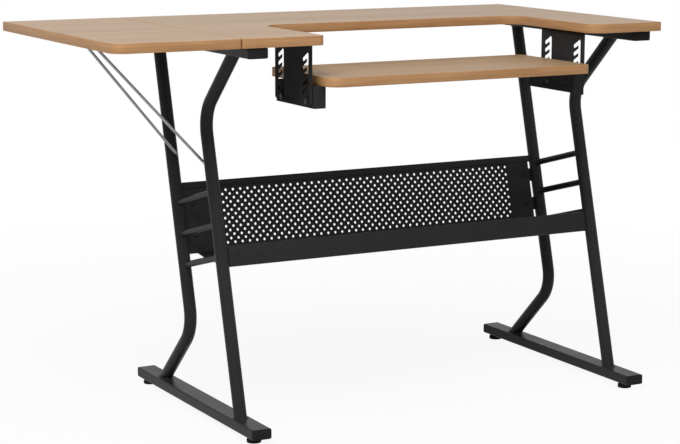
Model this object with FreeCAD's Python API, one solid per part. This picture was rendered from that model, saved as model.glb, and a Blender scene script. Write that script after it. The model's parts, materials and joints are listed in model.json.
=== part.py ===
import FreeCAD, Part
import math
import os

# Sewing machine table: boards on two leaning steel end frames, with a drop leaf at the left,
# a height-adjustable machine platform in a notch of the top, and a storage shelf between the posts.
# Millimetres. X runs along the table, Y to the back, Z up. The origin is on the floor, under the centre.

# Table top
table_height = 760.0
table_width = 1174.0
top_depth = 583.0
board_thickness = 18.0
band_thickness = 1.0
leaf_width = 246.5
seam_gap = 2.0
seam_corner_radius = 2.0
leaf_front_radius = 26.0
leaf_rear_radius = 4.0
right_corner_radius = 4.0

# Notch for the machine, between the left arm and the right arm of the top
left_arm_width = 169.5
right_arm_rear_width = 161.0
right_arm_front_width = 171.0
right_arm_reach = 14.0
notch_depth = 270.5
notch_corner_radius = 40.0
left_arm_radius = 15.0
right_arm_radius = 36.0

# Machine platform
platform_thickness = 18.0
platform_side_gap = 2.5
platform_rear_gap = 40.0
platform_depth = 244.5
platform_left_radius = 30.0
platform_right_radius = 8.0
platform_rear_radius = 5.0
platform_drop = 78.0
flush_gap = 0.5

# Hanger plates with saw-tooth slots, and the brackets and pins that run in them
plate_thickness = 2.0
plate_offset = 15.5
plate_depth = 150.0
plate_set_back = 91.0
plate_flange_width = 25.0
plate_bottom_margin = 10.0
plate_chamfer_depth = 14.0
plate_chamfer_height = 7.0
rear_slot_inset = 32.0
slot_spacing = 101.0
slot_clearance = 1.0
tooth_count = 5
tooth_reach = 16.5
tooth_slope = 30.0
bracket_thickness = 2.0
bracket_gap = 1.5
left_bracket_set_back = 90.0
right_bracket_set_back = 52.0
bracket_reach = 245.0
left_bracket_height = 42.0
right_bracket_height = 46.5
bracket_top_width = 26.5
bracket_end_width = 24.5
pin_diameter = 7.0
pin_drop = 30.0
pin_head_diameter = 13.0
pin_head_height = 3.0
pin_rivet_diameter = 10.0
pin_rivet_height = 1.5
pin_head_gap = 0.5

# End frames
left_frame_inset = 33.5
right_frame_inset = 35.0
tube_width = 40.0
tube_height = 20.0
tube_wall = 1.5
tube_radius = 3.0
rail_set_back = 3.5
rail_length = 530.0
foot_reach = 5.0
foot_length = 547.0
post_diameter = 25.0
post_wall = 1.5
post_lean = 14.9
post_set_back = 78.7
post_spacing = 184.2
bend_lean = 46.5
bend_radius = 70.0
front_bend_height = 598.0
rear_bend_height = 160.5
rung_diameter = 12.8
rung_pitch = 60.3
rung_count = 3
left_rung_height = 307.0
right_rung_height = 328.0

# Tube end caps
cap_thickness = 3.0
cap_plug_length = 8.0
cap_clearance = 0.1

# Levelling feet
leveller_height = 12.0
leveller_pad_diameter = 28.0
leveller_pad_height = 6.0
leveller_neck_diameter = 20.0
leveller_edge = 1.0
leveller_stop_gap = 0.3
leveller_stem_diameter = 8.0
leveller_stem_top_gap = 1.5
leveller_hole_clearance = 0.4
leveller_nut_clearance = 0.05
leveller_nut_height = 6.0
leveller_nut_across = 15.0
front_leveller_inset = 34.5
rear_leveller_inset = 20.5

# Storage shelf
shelf_thickness = 1.5
shelf_floor_height = 311.0
shelf_floor_fall = 5.5
shelf_lip_height = 348.0
shelf_back_height = 442.8
shelf_end_gap = 1.0
panel_right_gap = 6.5
shelf_hem_depth = 14.0
shelf_corner_cut = 17.0
shelf_corner_cut_depth = 84.0
hole_pitch = 28.0
hole_diameter = 13.0
hole_sides = 6
hole_end_margin = 65.0
hole_top_margin = 21.0
hole_floor_margin = 12.0
tab_thickness = 3.0
tab_length = 44.0
tab_width = 28.0
tab_low_height = 341.0
tab_high_height = 402.0
lip_tab_width = 22.0
lip_tab_height = 333.0
tab_hole_inset = 32.0

# Leaf hinges
hinge_count = 3
hinge_spacing = 205.0
hinge_length = 60.0
hinge_barrel_diameter = 6.0
hinge_axis_drop = 3.5
hinge_plate_thickness = 1.5
hinge_plate_width = 10.0
hinge_plate_gap = 3.5
hinge_knuckle_share = 15.0
hinge_knuckle_gap = 0.5
hinge_pin_diameter = 3.0
hinge_pin_clearance = 0.05

# Wire bail that props the leaf, and its catch
bail_wire_diameter = 5.5
bail_pivot_height = 501.0
bail_foot_width = 130.0
bail_top_width = 47.0
bail_reach = 209.0
bail_bar_drop = 6.8
bail_bend_radius = 9.0
bush_wall = 1.7
bush_stand_out = 4.5
bush_depth = 9.5
bail_bush_clearance = 0.05
bail_end_gap = 1.0
catch_pad_thickness = 3.5
catch_width = 60.0
catch_pad_outer = 20.0
catch_pad_inner = 15.0
catch_rib_gap = 0.75
catch_rib_width = 5.5
catch_rib_length = 24.0
catch_rib_depth = 9.5

# Screws
screw_diameter = 4.0
screw_head_diameter = 8.0
screw_head_height = 2.4
shelf_screw_head_diameter = 12.5
screw_bite = 11.0
screw_sides = 6
small_screw_diameter = 2.4
small_screw_head_diameter = 4.6
small_screw_head_height = 1.2
screw_inset = 20.0
hinge_screw_inset = 10.0
screw_clearance = 0.1


def corner_arc(before, corner, after, radius):
    """Tangent points, middle and centre of the arc that rounds a corner of an outline."""
    to_before = (before - corner).normalize()
    to_after = (after - corner).normalize()
    half_angle = to_before.getAngle(to_after) / 2
    setback = radius / math.tan(half_angle)
    bisector = (to_before + to_after).normalize()
    center = corner + bisector * (radius / math.sin(half_angle))
    middle = center - bisector * radius
    return corner + to_before * setback, middle, corner + to_after * setback, center


def rounded_path(points, radii, closed):
    """Straight runs joined by tangent arcs, through the given corners."""
    count = len(points)
    edges = []
    arcs = {}
    for index in range(count):
        inner = closed or 0 < index < count - 1
        if inner and radii[index] > 0:
            before = points[index - 1]
            after = points[(index + 1) % count]
            arcs[index] = corner_arc(before, points[index], after, radii[index])
    for index in range(count if closed else count - 1):
        following = (index + 1) % count
        start = arcs[index][2] if index in arcs else points[index]
        end = arcs[following][0] if following in arcs else points[following]
        edges.append(Part.LineSegment(start, end).toShape())
        if following in arcs:
            first, middle, last, center = arcs[following]
            edges.append(Part.Arc(first, middle, last).toShape())
    return Part.Wire(edges)


def outline(corners, height):
    """Closed flat outline at a height, from corners given as x, y and rounding radius."""
    points = [FreeCAD.Vector(x, y, height) for x, y, radius in corners]
    radii = [radius for x, y, radius in corners]
    return rounded_path(points, radii, True)


def box(x_low, x_high, y_low, y_high, z_low, z_high):
    """Block between two corners."""
    corner = FreeCAD.Vector(x_low, y_low, z_low)
    return Part.makeBox(x_high - x_low, y_high - y_low, z_high - z_low, corner)


def rod(start, end, radius):
    """Round bar between two points."""
    along = end - start
    return Part.makeCylinder(radius, along.Length, start, along)


def swept_bar(points, turn_radius, radius):
    """Round bar swept along a path whose inner corners are bent to one radius."""
    path = rounded_path(points, [turn_radius] * len(points), False)
    circle = Part.makeCircle(radius, points[0], points[1] - points[0])
    return path.makePipeShell([Part.Wire([circle])], True, False)


def prism_along(start, direction, length, diameter, sides):
    """Bar with a regular polygon section, by its diameter across the corners."""
    sketch = Part.makePolygon([
        FreeCAD.Vector(math.cos(2 * math.pi * side / sides), math.sin(2 * math.pi * side / sides), 0)
        * (diameter / 2)
        for side in range(sides + 1)
    ])
    bar = Part.Face(sketch).extrude(FreeCAD.Vector(0, 0, length))
    bar.Placement = FreeCAD.Placement(start, FreeCAD.Rotation(FreeCAD.Vector(0, 0, 1), direction))
    return bar


def screw(seat, direction, length, diameter, head_diameter, head_height):
    """Hexagon-headed screw whose head seats at a point and whose shank runs along a direction."""
    shank = prism_along(seat, direction, length, diameter, screw_sides)
    head = prism_along(seat, direction * -1, head_height, head_diameter, screw_sides)
    return shank.fuse(head).removeSplitter()


def group(solids):
    """Several separate solids as one piece of hardware."""
    return Part.makeCompound(solids)


def mirrored(shape, plane_x):
    """Copy of a shape, mirrored in a plane across the table."""
    return shape.mirror(FreeCAD.Vector(plane_x, 0, 0), FreeCAD.Vector(1, 0, 0))


# Levels
under_z = table_height - board_thickness
rail_bottom_z = under_z - tube_height
foot_bottom_z = leveller_height
foot_top_z = foot_bottom_z + tube_height
platform_top_z = table_height - platform_drop
platform_under_z = platform_top_z - platform_thickness
lift_travel = platform_drop - flush_gap
pin_z = platform_under_z - pin_drop
hinge_axis_z = under_z - hinge_axis_drop
bail_bar_z = under_z - bail_bar_drop

# Places along the table
left_x = -table_width / 2
right_x = table_width / 2
seam_x = left_x + leaf_width + seam_gap / 2
leaf_right_x = seam_x - seam_gap / 2
main_left_x = seam_x + seam_gap / 2
left_frame_x = seam_x + left_frame_inset
right_frame_x = right_x - right_frame_inset
notch_left_x = main_left_x + left_arm_width
notch_right_rear_x = right_x - right_arm_rear_width
notch_right_front_x = right_x - right_arm_front_width
platform_left_x = notch_left_x + platform_side_gap
platform_right_x = notch_right_front_x - platform_side_gap
platform_middle_x = (platform_left_x + platform_right_x) / 2
plate_inner_x = platform_left_x - plate_offset
bracket_outer_x = plate_inner_x + bracket_gap
bail_bar_x = left_frame_x - bail_reach

# Places from front to back. The right arm stands a little in front of the other front edges.
rear_y = (top_depth + right_arm_reach) / 2
front_y = rear_y - top_depth
arm_front_y = front_y - right_arm_reach
notch_back_y = front_y + notch_depth
platform_rear_y = notch_back_y - platform_rear_gap
platform_front_y = platform_rear_y - platform_depth
plate_rear_y = notch_back_y - plate_set_back
slot_places = [plate_rear_y - rear_slot_inset - index * slot_spacing for index in range(2)]
left_bracket_rear_y = notch_back_y - left_bracket_set_back
right_bracket_rear_y = notch_back_y - right_bracket_set_back
bracket_front_y = notch_back_y - bracket_reach
rail_front_y = front_y + rail_set_back
rail_rear_y = rail_front_y + rail_length
foot_front_y = front_y - foot_reach
foot_rear_y = foot_front_y + foot_length
leveller_places = [foot_front_y + front_leveller_inset, foot_rear_y - rear_leveller_inset]
front_post_y = front_y + post_set_back
rear_post_y = front_post_y + post_spacing
lean_slope = math.tan(math.radians(post_lean))
lean_cosine = math.cos(math.radians(post_lean))
bend_slope = math.tan(math.radians(bend_lean))
hinge_places = [(index - (hinge_count - 1) / 2) * hinge_spacing + (front_y + rear_y) / 2
                for index in range(hinge_count)]
bail_middle_y = (front_post_y + rear_post_y) / 2 + lean_slope * bail_pivot_height

# Shelf, between the inner sides of the posts
shelf_rear_height = shelf_floor_height - shelf_floor_fall
shelf_left_x = left_frame_x + post_diameter / 2
shelf_right_x = right_frame_x - post_diameter / 2


def board_and_band(corners, top_z, thickness):
    """Board with the thin band that covers its edge all round."""
    face = Part.Face(outline(corners, top_z - thickness))
    core = face.makeOffset2D(-band_thickness, 2)
    rise = FreeCAD.Vector(0, 0, thickness)
    return core.extrude(rise), face.cut(core).extrude(rise)


def main_top_pieces():
    """Top board with the notch, whose right arm reaches forwards past the left arm."""
    corners = [
        (main_left_x, front_y, seam_corner_radius),
        (notch_left_x, front_y, left_arm_radius),
        (notch_left_x, notch_back_y, notch_corner_radius),
        (notch_right_rear_x, notch_back_y, notch_corner_radius),
        (notch_right_front_x, arm_front_y, right_arm_radius),
        (right_x, arm_front_y, right_corner_radius),
        (right_x, rear_y, right_corner_radius),
        (main_left_x, rear_y, seam_corner_radius),
    ]
    return board_and_band(corners, table_height, board_thickness)


def leaf_pieces():
    """Drop leaf, with a large rounding at its free front corner."""
    corners = [
        (left_x, front_y, leaf_front_radius),
        (leaf_right_x, front_y, seam_corner_radius),
        (leaf_right_x, rear_y, seam_corner_radius),
        (left_x, rear_y, leaf_rear_radius),
    ]
    return board_and_band(corners, table_height, board_thickness)


def platform_pieces():
    """Machine platform, which fits the notch when it is raised."""
    corners = [
        (platform_left_x, platform_front_y, platform_left_radius),
        (platform_right_x, platform_front_y, platform_right_radius),
        (platform_right_x, platform_rear_y, platform_rear_radius),
        (platform_left_x, platform_rear_y, platform_rear_radius),
    ]
    return board_and_band(corners, platform_top_z, platform_thickness)


def slot_cutter(start, end, width):
    """Round-ended slot through a hanger plate, between two points of its middle line."""
    along = end - start
    depth = FreeCAD.Vector(plate_thickness, 0, 0)
    across = along.cross(FreeCAD.Vector(1, 0, 0)).normalize() * (width / 2)
    loop = Part.makePolygon([start + across, end + across, end - across, start - across, start + across])
    ends = [rod(point, point + depth, width / 2) for point in (start, end)]
    return Part.Face(loop).extrude(depth).multiFuse(ends)


def hanger_plate():
    """Left hanger plate: a flange under the arm and a plate with two saw-tooth slots."""
    outer_x = plate_inner_x - plate_thickness
    plate_front_y = plate_rear_y - plate_depth
    plate_bottom_z = pin_z - plate_bottom_margin
    sketch = Part.makePolygon([
        FreeCAD.Vector(outer_x, plate_front_y, under_z),
        FreeCAD.Vector(outer_x, plate_front_y, plate_bottom_z + plate_chamfer_height),
        FreeCAD.Vector(outer_x, plate_front_y + plate_chamfer_depth, plate_bottom_z),
        FreeCAD.Vector(outer_x, plate_rear_y - plate_chamfer_depth, plate_bottom_z),
        FreeCAD.Vector(outer_x, plate_rear_y, plate_bottom_z + plate_chamfer_height),
        FreeCAD.Vector(outer_x, plate_rear_y, under_z),
        FreeCAD.Vector(outer_x, plate_front_y, under_z),
    ])
    plate = Part.Face(sketch).extrude(FreeCAD.Vector(plate_thickness, 0, 0))
    slot_width = pin_diameter + 2 * slot_clearance
    tooth_drop = tooth_reach * math.tan(math.radians(tooth_slope))
    cutters = []
    for slot_y in slot_places:
        low = FreeCAD.Vector(outer_x, slot_y, pin_z)
        for tooth in range(tooth_count):
            rise = lift_travel * (tooth + 1) / tooth_count
            seat = low + FreeCAD.Vector(0, tooth_reach, rise)
            mouth = low + FreeCAD.Vector(0, 0, rise + tooth_drop)
            cutters.append(slot_cutter(mouth, seat, pin_diameter + slot_clearance))
        cutters.append(slot_cutter(low, mouth, slot_width))
    flange = box(outer_x - plate_flange_width, plate_inner_x, plate_front_y, plate_rear_y,
                 under_z - plate_thickness, under_z)
    plate = plate.cut(cutters[0].multiFuse(cutters[1:]))
    return plate.fuse(flange).removeSplitter()


def hanger_screws():
    """Screws of the left hanger plate's flange."""
    middle_x = plate_inner_x - plate_thickness - plate_flange_width / 2
    seat_z = under_z - plate_thickness
    run = plate_depth - 2 * screw_inset
    places = [plate_rear_y - screw_inset - run * share for share in (0, 0.5, 1)]
    return [wood_screw(FreeCAD.Vector(middle_x, place, seat_z), plate_thickness) for place in places]


def wood_screw(seat, grip):
    """Screw driven upwards through a plate of a given thickness into a board."""
    up = FreeCAD.Vector(0, 0, 1)
    length = grip + screw_bite
    return screw(seat, up, length, screw_diameter, screw_head_diameter, screw_head_height)


def platform_bracket(rear_y, height):
    """Left platform bracket: a folded sheet with a top, a side and a front end."""
    top = box(bracket_outer_x, bracket_outer_x + bracket_top_width, bracket_front_y, rear_y,
              platform_under_z - bracket_thickness, platform_under_z)
    side = box(bracket_outer_x, bracket_outer_x + bracket_thickness, bracket_front_y, rear_y,
               platform_under_z - height, platform_under_z)
    end = box(bracket_outer_x, bracket_outer_x + bracket_end_width,
              bracket_front_y, bracket_front_y + bracket_thickness,
              platform_under_z - height, platform_under_z)
    rise = FreeCAD.Vector(0, 0, bracket_thickness)
    hole_radius = screw_diameter / 2 + screw_clearance
    holes = [rod(seat, seat + rise, hole_radius) for seat in bracket_screw_seats(rear_y)]
    return top.multiFuse([side, end]).removeSplitter().cut(group(holes + guide_pins()))


def bracket_screw_seats(rear_y):
    """Places of the screws that hold a left bracket's top to the platform."""
    overlap_x = bracket_outer_x + bracket_top_width
    seat_x = (platform_left_x + overlap_x) / 2
    run = rear_y - bracket_front_y - 2 * screw_inset
    return [FreeCAD.Vector(seat_x, rear_y - screw_inset - run * share,
                           platform_under_z - bracket_thickness)
            for share in (0, 0.5, 1)]


def guide_pins():
    """Pins riveted in the left bracket, with heads outside the hanger plate."""
    head_x = plate_inner_x - plate_thickness - pin_head_gap
    rivet_x = bracket_outer_x + bracket_thickness
    out = FreeCAD.Vector(-pin_head_height, 0, 0)
    pins = []
    for slot_y in slot_places:
        head_base = FreeCAD.Vector(head_x, slot_y, pin_z)
        rivet_base = FreeCAD.Vector(rivet_x, slot_y, pin_z)
        rivet_end = rivet_base + FreeCAD.Vector(pin_rivet_height, 0, 0)
        shank = rod(head_base, rivet_base, pin_diameter / 2)
        head = rod(head_base, head_base + out, pin_head_diameter / 2)
        rivet = rod(rivet_base, rivet_end, pin_rivet_diameter / 2)
        pins.append(shank.multiFuse([head, rivet]).removeSplitter())
    return pins


def tube_section(center_x, middle_z, y, inset):
    """Outline across a rectangular tube, set in from its outside by a wall."""
    half_width = tube_width / 2 - inset
    half_height = tube_height / 2 - inset
    radius = max(tube_radius - inset, tube_wall / 2)
    points = [
        FreeCAD.Vector(center_x - half_width, y, middle_z - half_height),
        FreeCAD.Vector(center_x + half_width, y, middle_z - half_height),
        FreeCAD.Vector(center_x + half_width, y, middle_z + half_height),
        FreeCAD.Vector(center_x - half_width, y, middle_z + half_height),
    ]
    return Part.Face(rounded_path(points, [radius] * len(points), True))


def flat_tube(center_x, bottom_z, y_low, y_high):
    """Rectangular tube running from front to back."""
    middle_z = bottom_z + tube_height / 2
    run = FreeCAD.Vector(0, y_high - y_low, 0)
    outside = tube_section(center_x, middle_z, y_low, 0).extrude(run)
    return outside.cut(tube_section(center_x, middle_z, y_low, tube_wall).extrude(run))


def end_cap(center_x, bottom_z, y, outward):
    """Plastic cap on the end of a rectangular tube, with a plug inside it."""
    middle_z = bottom_z + tube_height / 2
    plate = tube_section(center_x, middle_z, y, 0).extrude(FreeCAD.Vector(0, outward * cap_thickness, 0))
    plug = tube_section(center_x, middle_z, y, tube_wall + cap_clearance)
    plug = plug.extrude(FreeCAD.Vector(0, -outward * cap_plug_length, 0))
    return plate.fuse(plug)


def tube_caps(bottom_z, y_low, y_high):
    """Caps on both ends of the left and right tubes at one level."""
    caps = []
    for center_x in (left_frame_x, right_frame_x):
        caps.append(end_cap(center_x, bottom_z, y_low, -1))
        caps.append(end_cap(center_x, bottom_z, y_high, 1))
    return group(caps)


def foot_tube(center_x):
    """Foot tube with the holes for the levellers' stems in its lower wall."""
    tube = flat_tube(center_x, foot_bottom_z, foot_front_y + cap_thickness, foot_rear_y - cap_thickness)
    rise = FreeCAD.Vector(0, 0, tube_wall)
    radius = leveller_stem_diameter / 2 + leveller_hole_clearance
    starts = [FreeCAD.Vector(center_x, place, foot_bottom_z) for place in leveller_places]
    return tube.cut(group([rod(start, start + rise, radius) for start in starts]))


def rail_screw_seats(center_x):
    """Places under a top rail where screws go up into the board."""
    run = rail_length - 2 * tube_width
    return [FreeCAD.Vector(center_x, rail_front_y + tube_width + run * share, rail_bottom_z)
            for share in (0, 0.5, 1)]


def top_rail(center_x):
    """Top rail with the holes for its screws."""
    tube = flat_tube(center_x, rail_bottom_z, rail_front_y + cap_thickness, rail_rear_y - cap_thickness)
    rise = FreeCAD.Vector(0, 0, tube_height)
    radius = screw_diameter / 2 + screw_clearance
    return tube.cut(group([rod(seat, seat + rise, radius) for seat in rail_screw_seats(center_x)]))


def post_line(floor_y, z):
    """Distance from front to back of a leaning post's axis at a height."""
    return floor_y + lean_slope * z


def post_path(center_x, floor_y, bend_z, bent_end):
    """Corners of a post's axis. It runs past the tubes that it is cut to fit."""
    low_z = foot_top_z - post_diameter
    high_z = rail_bottom_z + post_diameter
    bend_y = post_line(floor_y, bend_z)
    low_y = post_line(floor_y, low_z)
    high_y = post_line(floor_y, high_z)
    if bent_end == "top":
        high_y = bend_y - bend_slope * (high_z - bend_z)
    else:
        low_y = bend_y + bend_slope * (bend_z - low_z)
    return [
        FreeCAD.Vector(center_x, low_y, low_z),
        FreeCAD.Vector(center_x, bend_y, bend_z),
        FreeCAD.Vector(center_x, high_y, high_z),
    ]


def post_bar(center_x, floor_y, bend_z, bent_end, inset):
    """Post as a solid bar between foot tube and top rail, set in from its outside."""
    path = post_path(center_x, floor_y, bend_z, bent_end)
    bar = swept_bar(path, bend_radius, post_diameter / 2 - inset)
    gap = box(center_x - tube_width, center_x + tube_width, foot_front_y, rear_y, foot_top_z, rail_bottom_z)
    return bar.common(gap)


def front_post_bar(center_x, inset):
    """Front post, bent forwards at its top."""
    return post_bar(center_x, front_post_y, front_bend_height, "top", inset)


def rear_post_bar(center_x, inset):
    """Rear post, bent backwards at its bottom."""
    return post_bar(center_x, rear_post_y, rear_bend_height, "bottom", inset)


def rungs(center_x, lowest_z):
    """Round rungs square to the posts, ending on their outsides."""
    bars = []
    posts = front_post_bar(center_x, 0).fuse(rear_post_bar(center_x, 0))
    middle_floor_y = (front_post_y + rear_post_y) / 2
    half_span = post_spacing / 2 * lean_cosine
    across = FreeCAD.Vector(0, lean_cosine, -lean_cosine * lean_slope)
    for index in range(rung_count):
        height = lowest_z + index * rung_pitch
        middle = FreeCAD.Vector(center_x, post_line(middle_floor_y, height), height)
        bar = rod(middle - across * half_span, middle + across * half_span, rung_diameter / 2)
        bars.append(bar.cut(posts))
    return group(bars)


def leveller(center_x, place):
    """Levelling foot: a round pad with a stem that goes up into the foot tube."""
    pad_radius = leveller_pad_diameter / 2
    neck_radius = leveller_neck_diameter / 2
    stem_radius = leveller_stem_diameter / 2
    neck_z = leveller_height - leveller_stop_gap
    shoulder_z = leveller_pad_height + pad_radius - neck_radius
    stem_z = foot_top_z - tube_wall - leveller_stem_top_gap
    profile = [
        (0, 0),
        (pad_radius - leveller_edge, 0),
        (pad_radius, leveller_edge),
        (pad_radius, leveller_pad_height),
        (neck_radius, min(shoulder_z, neck_z - leveller_edge)),
        (neck_radius, neck_z),
        (stem_radius, neck_z),
        (stem_radius, stem_z),
        (0, stem_z),
        (0, 0),
    ]
    sketch = Part.makePolygon([FreeCAD.Vector(center_x + radius, place, z) for radius, z in profile])
    axis_point = FreeCAD.Vector(center_x, place, 0)
    return Part.Face(sketch).revolve(axis_point, FreeCAD.Vector(0, 0, 1), 360)


def leveller_nuts():
    """Nuts fixed inside the foot tubes, over the levellers' holes."""
    nuts = []
    up = FreeCAD.Vector(0, 0, 1)
    base_z = foot_bottom_z + tube_wall
    radius = leveller_stem_diameter / 2 + leveller_nut_clearance
    for center_x in (left_frame_x, right_frame_x):
        for place in leveller_places:
            base = FreeCAD.Vector(center_x, place, base_z)
            nut = prism_along(base, up, leveller_nut_height, leveller_nut_across, screw_sides)
            nuts.append(nut.cut(rod(base, base + up * leveller_nut_height, radius)))
    return group(nuts)


def on_posts(shape, floor_y):
    """Place a piece drawn upright so that it leans with the posts whose axes meet the floor at a place."""
    turn = FreeCAD.Rotation(FreeCAD.Vector(1, 0, 0), -post_lean)
    return shape.transformed(FreeCAD.Placement(FreeCAD.Vector(0, floor_y, 0), turn).toMatrix())


def shelf_panel():
    """Perforated back panel with a hem along its top edge, leaning with the rear posts."""
    half = shelf_thickness / 2
    bottom = (shelf_rear_height - shelf_thickness) / lean_cosine
    top = shelf_back_height / lean_cosine
    low_x = shelf_left_x + shelf_end_gap
    high_x = shelf_right_x - panel_right_gap
    frame = [(low_x, bottom), (high_x, bottom), (high_x, top), (low_x, top), (low_x, bottom)]
    wires = [Part.makePolygon([FreeCAD.Vector(x, -half, z) for x, z in frame])]
    columns = round((high_x - low_x - 2 * hole_end_margin) / hole_pitch)
    rows = round((top - bottom - hole_top_margin - hole_floor_margin) / (hole_pitch / 2)) + 1
    middle_x = (low_x + high_x) / 2
    for row in range(rows):
        z = top - hole_top_margin - row * hole_pitch / 2
        count = columns + row % 2
        for column in range(count):
            x = middle_x + (column - (count - 1) / 2) * hole_pitch
            wires.append(hole_wire(x, -half, z))
    sheet = Part.Face(wires, "Part::FaceMakerBullseye").extrude(FreeCAD.Vector(0, shelf_thickness, 0))
    hem = box(shelf_left_x, shelf_right_x, -half - shelf_thickness, -half, top - shelf_hem_depth, top)
    ends = hem_ends(top)
    panel = on_posts(sheet.multiFuse([hem] + ends), rear_post_y)
    posts = [rear_post_bar(x, 0) for x in (left_frame_x, right_frame_x)]
    return panel.cut(group(posts + shelf_screw_holes(rear_post_y)))


def hem_ends(top):
    """Ends of the hem, which close the gap between the panel and the posts."""
    half = shelf_thickness / 2
    left = box(shelf_left_x, shelf_left_x + shelf_end_gap, -half, half, top - shelf_hem_depth, top)
    right = box(shelf_right_x - panel_right_gap, shelf_right_x, -half, half, top - shelf_hem_depth, top)
    return [left, right]


def hole_wire(x, y, z):
    """Outline of one hole of the perforated panel."""
    radius = hole_diameter / 2
    turns = [2 * math.pi * side / hole_sides for side in range(hole_sides + 1)]
    return Part.makePolygon([
        FreeCAD.Vector(x + radius * math.cos(turn), y, z + radius * math.sin(turn)) for turn in turns
    ])


def shelf_tray():
    """Shelf floor that falls a little to the back, folded up into a lip that leans with the front posts."""
    half = shelf_thickness / 2 / lean_cosine
    under = shelf_floor_height - shelf_thickness
    rear_under = shelf_rear_height - shelf_thickness
    low_x = shelf_left_x + shelf_end_gap
    high_x = shelf_right_x - shelf_end_gap
    section = [
        (post_line(rear_post_y, shelf_rear_height) - half, shelf_rear_height),
        (post_line(front_post_y, shelf_floor_height) + half, shelf_floor_height),
        (post_line(front_post_y, shelf_lip_height) + half, shelf_lip_height),
        (post_line(front_post_y, shelf_lip_height) - half, shelf_lip_height),
        (post_line(front_post_y, under) - half, under),
        (post_line(rear_post_y, rear_under) - half, rear_under),
    ]
    points = [FreeCAD.Vector(low_x, y, z) for y, z in section + section[:1]]
    tray = Part.Face(Part.makePolygon(points)).extrude(FreeCAD.Vector(high_x - low_x, 0, 0))
    back_y = post_line(rear_post_y, shelf_rear_height)
    cuts = []
    for end_x, inward in ((low_x, 1), (high_x, -1)):
        corner = [
            FreeCAD.Vector(end_x, back_y - shelf_corner_cut_depth, rear_under),
            FreeCAD.Vector(end_x, back_y, rear_under),
            FreeCAD.Vector(end_x + inward * shelf_corner_cut, back_y, rear_under),
            FreeCAD.Vector(end_x, back_y - shelf_corner_cut_depth, rear_under),
        ]
        rise = FreeCAD.Vector(0, 0, shelf_thickness + shelf_floor_fall)
        cuts.append(Part.Face(Part.makePolygon(corner)).extrude(rise))
    return tray.cut(group(cuts + shelf_screw_holes(front_post_y)))


def tab_places(floor_y):
    """Heights along the posts, and widths, of the shelf's tabs on one pair of posts."""
    if floor_y == rear_post_y:
        return [(tab_low_height / lean_cosine, tab_width), (tab_high_height / lean_cosine, tab_width)]
    return [(lip_tab_height / lean_cosine, lip_tab_width)]


def shelf_tabs():
    """Flat tabs on the inner sides of the posts, behind the panel and the lip."""
    half = shelf_thickness / 2
    tabs = []
    for floor_y, post in ((front_post_y, front_post_bar), (rear_post_y, rear_post_bar)):
        for frame_x, inward in ((left_frame_x, 1), (right_frame_x, -1)):
            x_low, x_high = sorted((frame_x, frame_x + inward * tab_length))
            for height, width in tab_places(floor_y):
                tab = box(x_low, x_high, half, half + tab_thickness, height - width / 2, height + width / 2)
                tab = on_posts(tab, floor_y).cut(post(frame_x, 0))
                tabs.append(tab)
    holes = group(shelf_screw_holes(front_post_y) + shelf_screw_holes(rear_post_y))
    return group([tab.cut(holes) for tab in tabs])


def shelf_screw_seats(floor_y):
    """Places of the shelf's screws on one pair of posts, drawn upright."""
    return [FreeCAD.Vector(frame_x + inward * tab_hole_inset, -shelf_thickness / 2, height)
            for frame_x, inward in ((left_frame_x, 1), (right_frame_x, -1))
            for height, width in tab_places(floor_y)]


def shelf_screw_holes(floor_y):
    """Round holes through the shelf and the tabs of one pair of posts."""
    reach = FreeCAD.Vector(0, shelf_thickness + 2 * tab_thickness, 0)
    radius = screw_diameter / 2 + screw_clearance
    return [on_posts(rod(seat, seat + reach, radius), floor_y) for seat in shelf_screw_seats(floor_y)]


def shelf_screws():
    """All the screws of the shelf."""
    back = FreeCAD.Vector(0, 1, 0)
    length = shelf_thickness + tab_thickness
    return group([
        on_posts(screw(seat, back, length, screw_diameter, shelf_screw_head_diameter, screw_head_height),
                 floor_y)
        for floor_y in (front_post_y, rear_post_y) for seat in shelf_screw_seats(floor_y)
    ])


def hinge_half(place, side, knuckles, hole_radius):
    """Half of a leaf hinge: a plate under a board and its share of the barrel."""
    radius = hinge_barrel_diameter / 2
    near_x, far_x = sorted((side * hinge_plate_gap, side * (hinge_plate_gap + hinge_plate_width)))
    low_z = under_z - hinge_plate_thickness
    plate = box(seam_x + near_x, seam_x + far_x, place - hinge_length / 2, place + hinge_length / 2,
                low_z, under_z)
    pieces = []
    bores = []
    for start, end in knuckles:
        low = FreeCAD.Vector(seam_x, place + start, hinge_axis_z)
        high = FreeCAD.Vector(seam_x, place + end, hinge_axis_z)
        pieces.append(rod(low, high, radius))
        web_x = sorted((seam_x, seam_x + side * hinge_plate_gap))
        pieces.append(box(web_x[0], web_x[1], place + start, place + end, low_z, hinge_axis_z + radius))
        bores.append(rod(low, high, hole_radius))
    return plate.multiFuse(pieces).cut(group(bores)).removeSplitter()


def hinge_pieces():
    """Fixed halves, moving halves and pins of the leaf hinges."""
    half = hinge_length / 2
    inner = half - hinge_knuckle_share
    pin_radius = hinge_pin_diameter / 2
    fixed = []
    moving = []
    pins = []
    for place in hinge_places:
        outer_knuckles = [(-half, -inner), (inner, half)]
        middle_knuckle = [(-inner + hinge_knuckle_gap, inner - hinge_knuckle_gap)]
        fixed.append(hinge_half(place, 1, outer_knuckles, pin_radius))
        moving.append(hinge_half(place, -1, middle_knuckle, pin_radius + hinge_pin_clearance))
        low = FreeCAD.Vector(seam_x, place - half, hinge_axis_z)
        pins.append(rod(low, low + FreeCAD.Vector(0, hinge_length, 0), pin_radius))
    return group(fixed), group(moving), group(pins)


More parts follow.
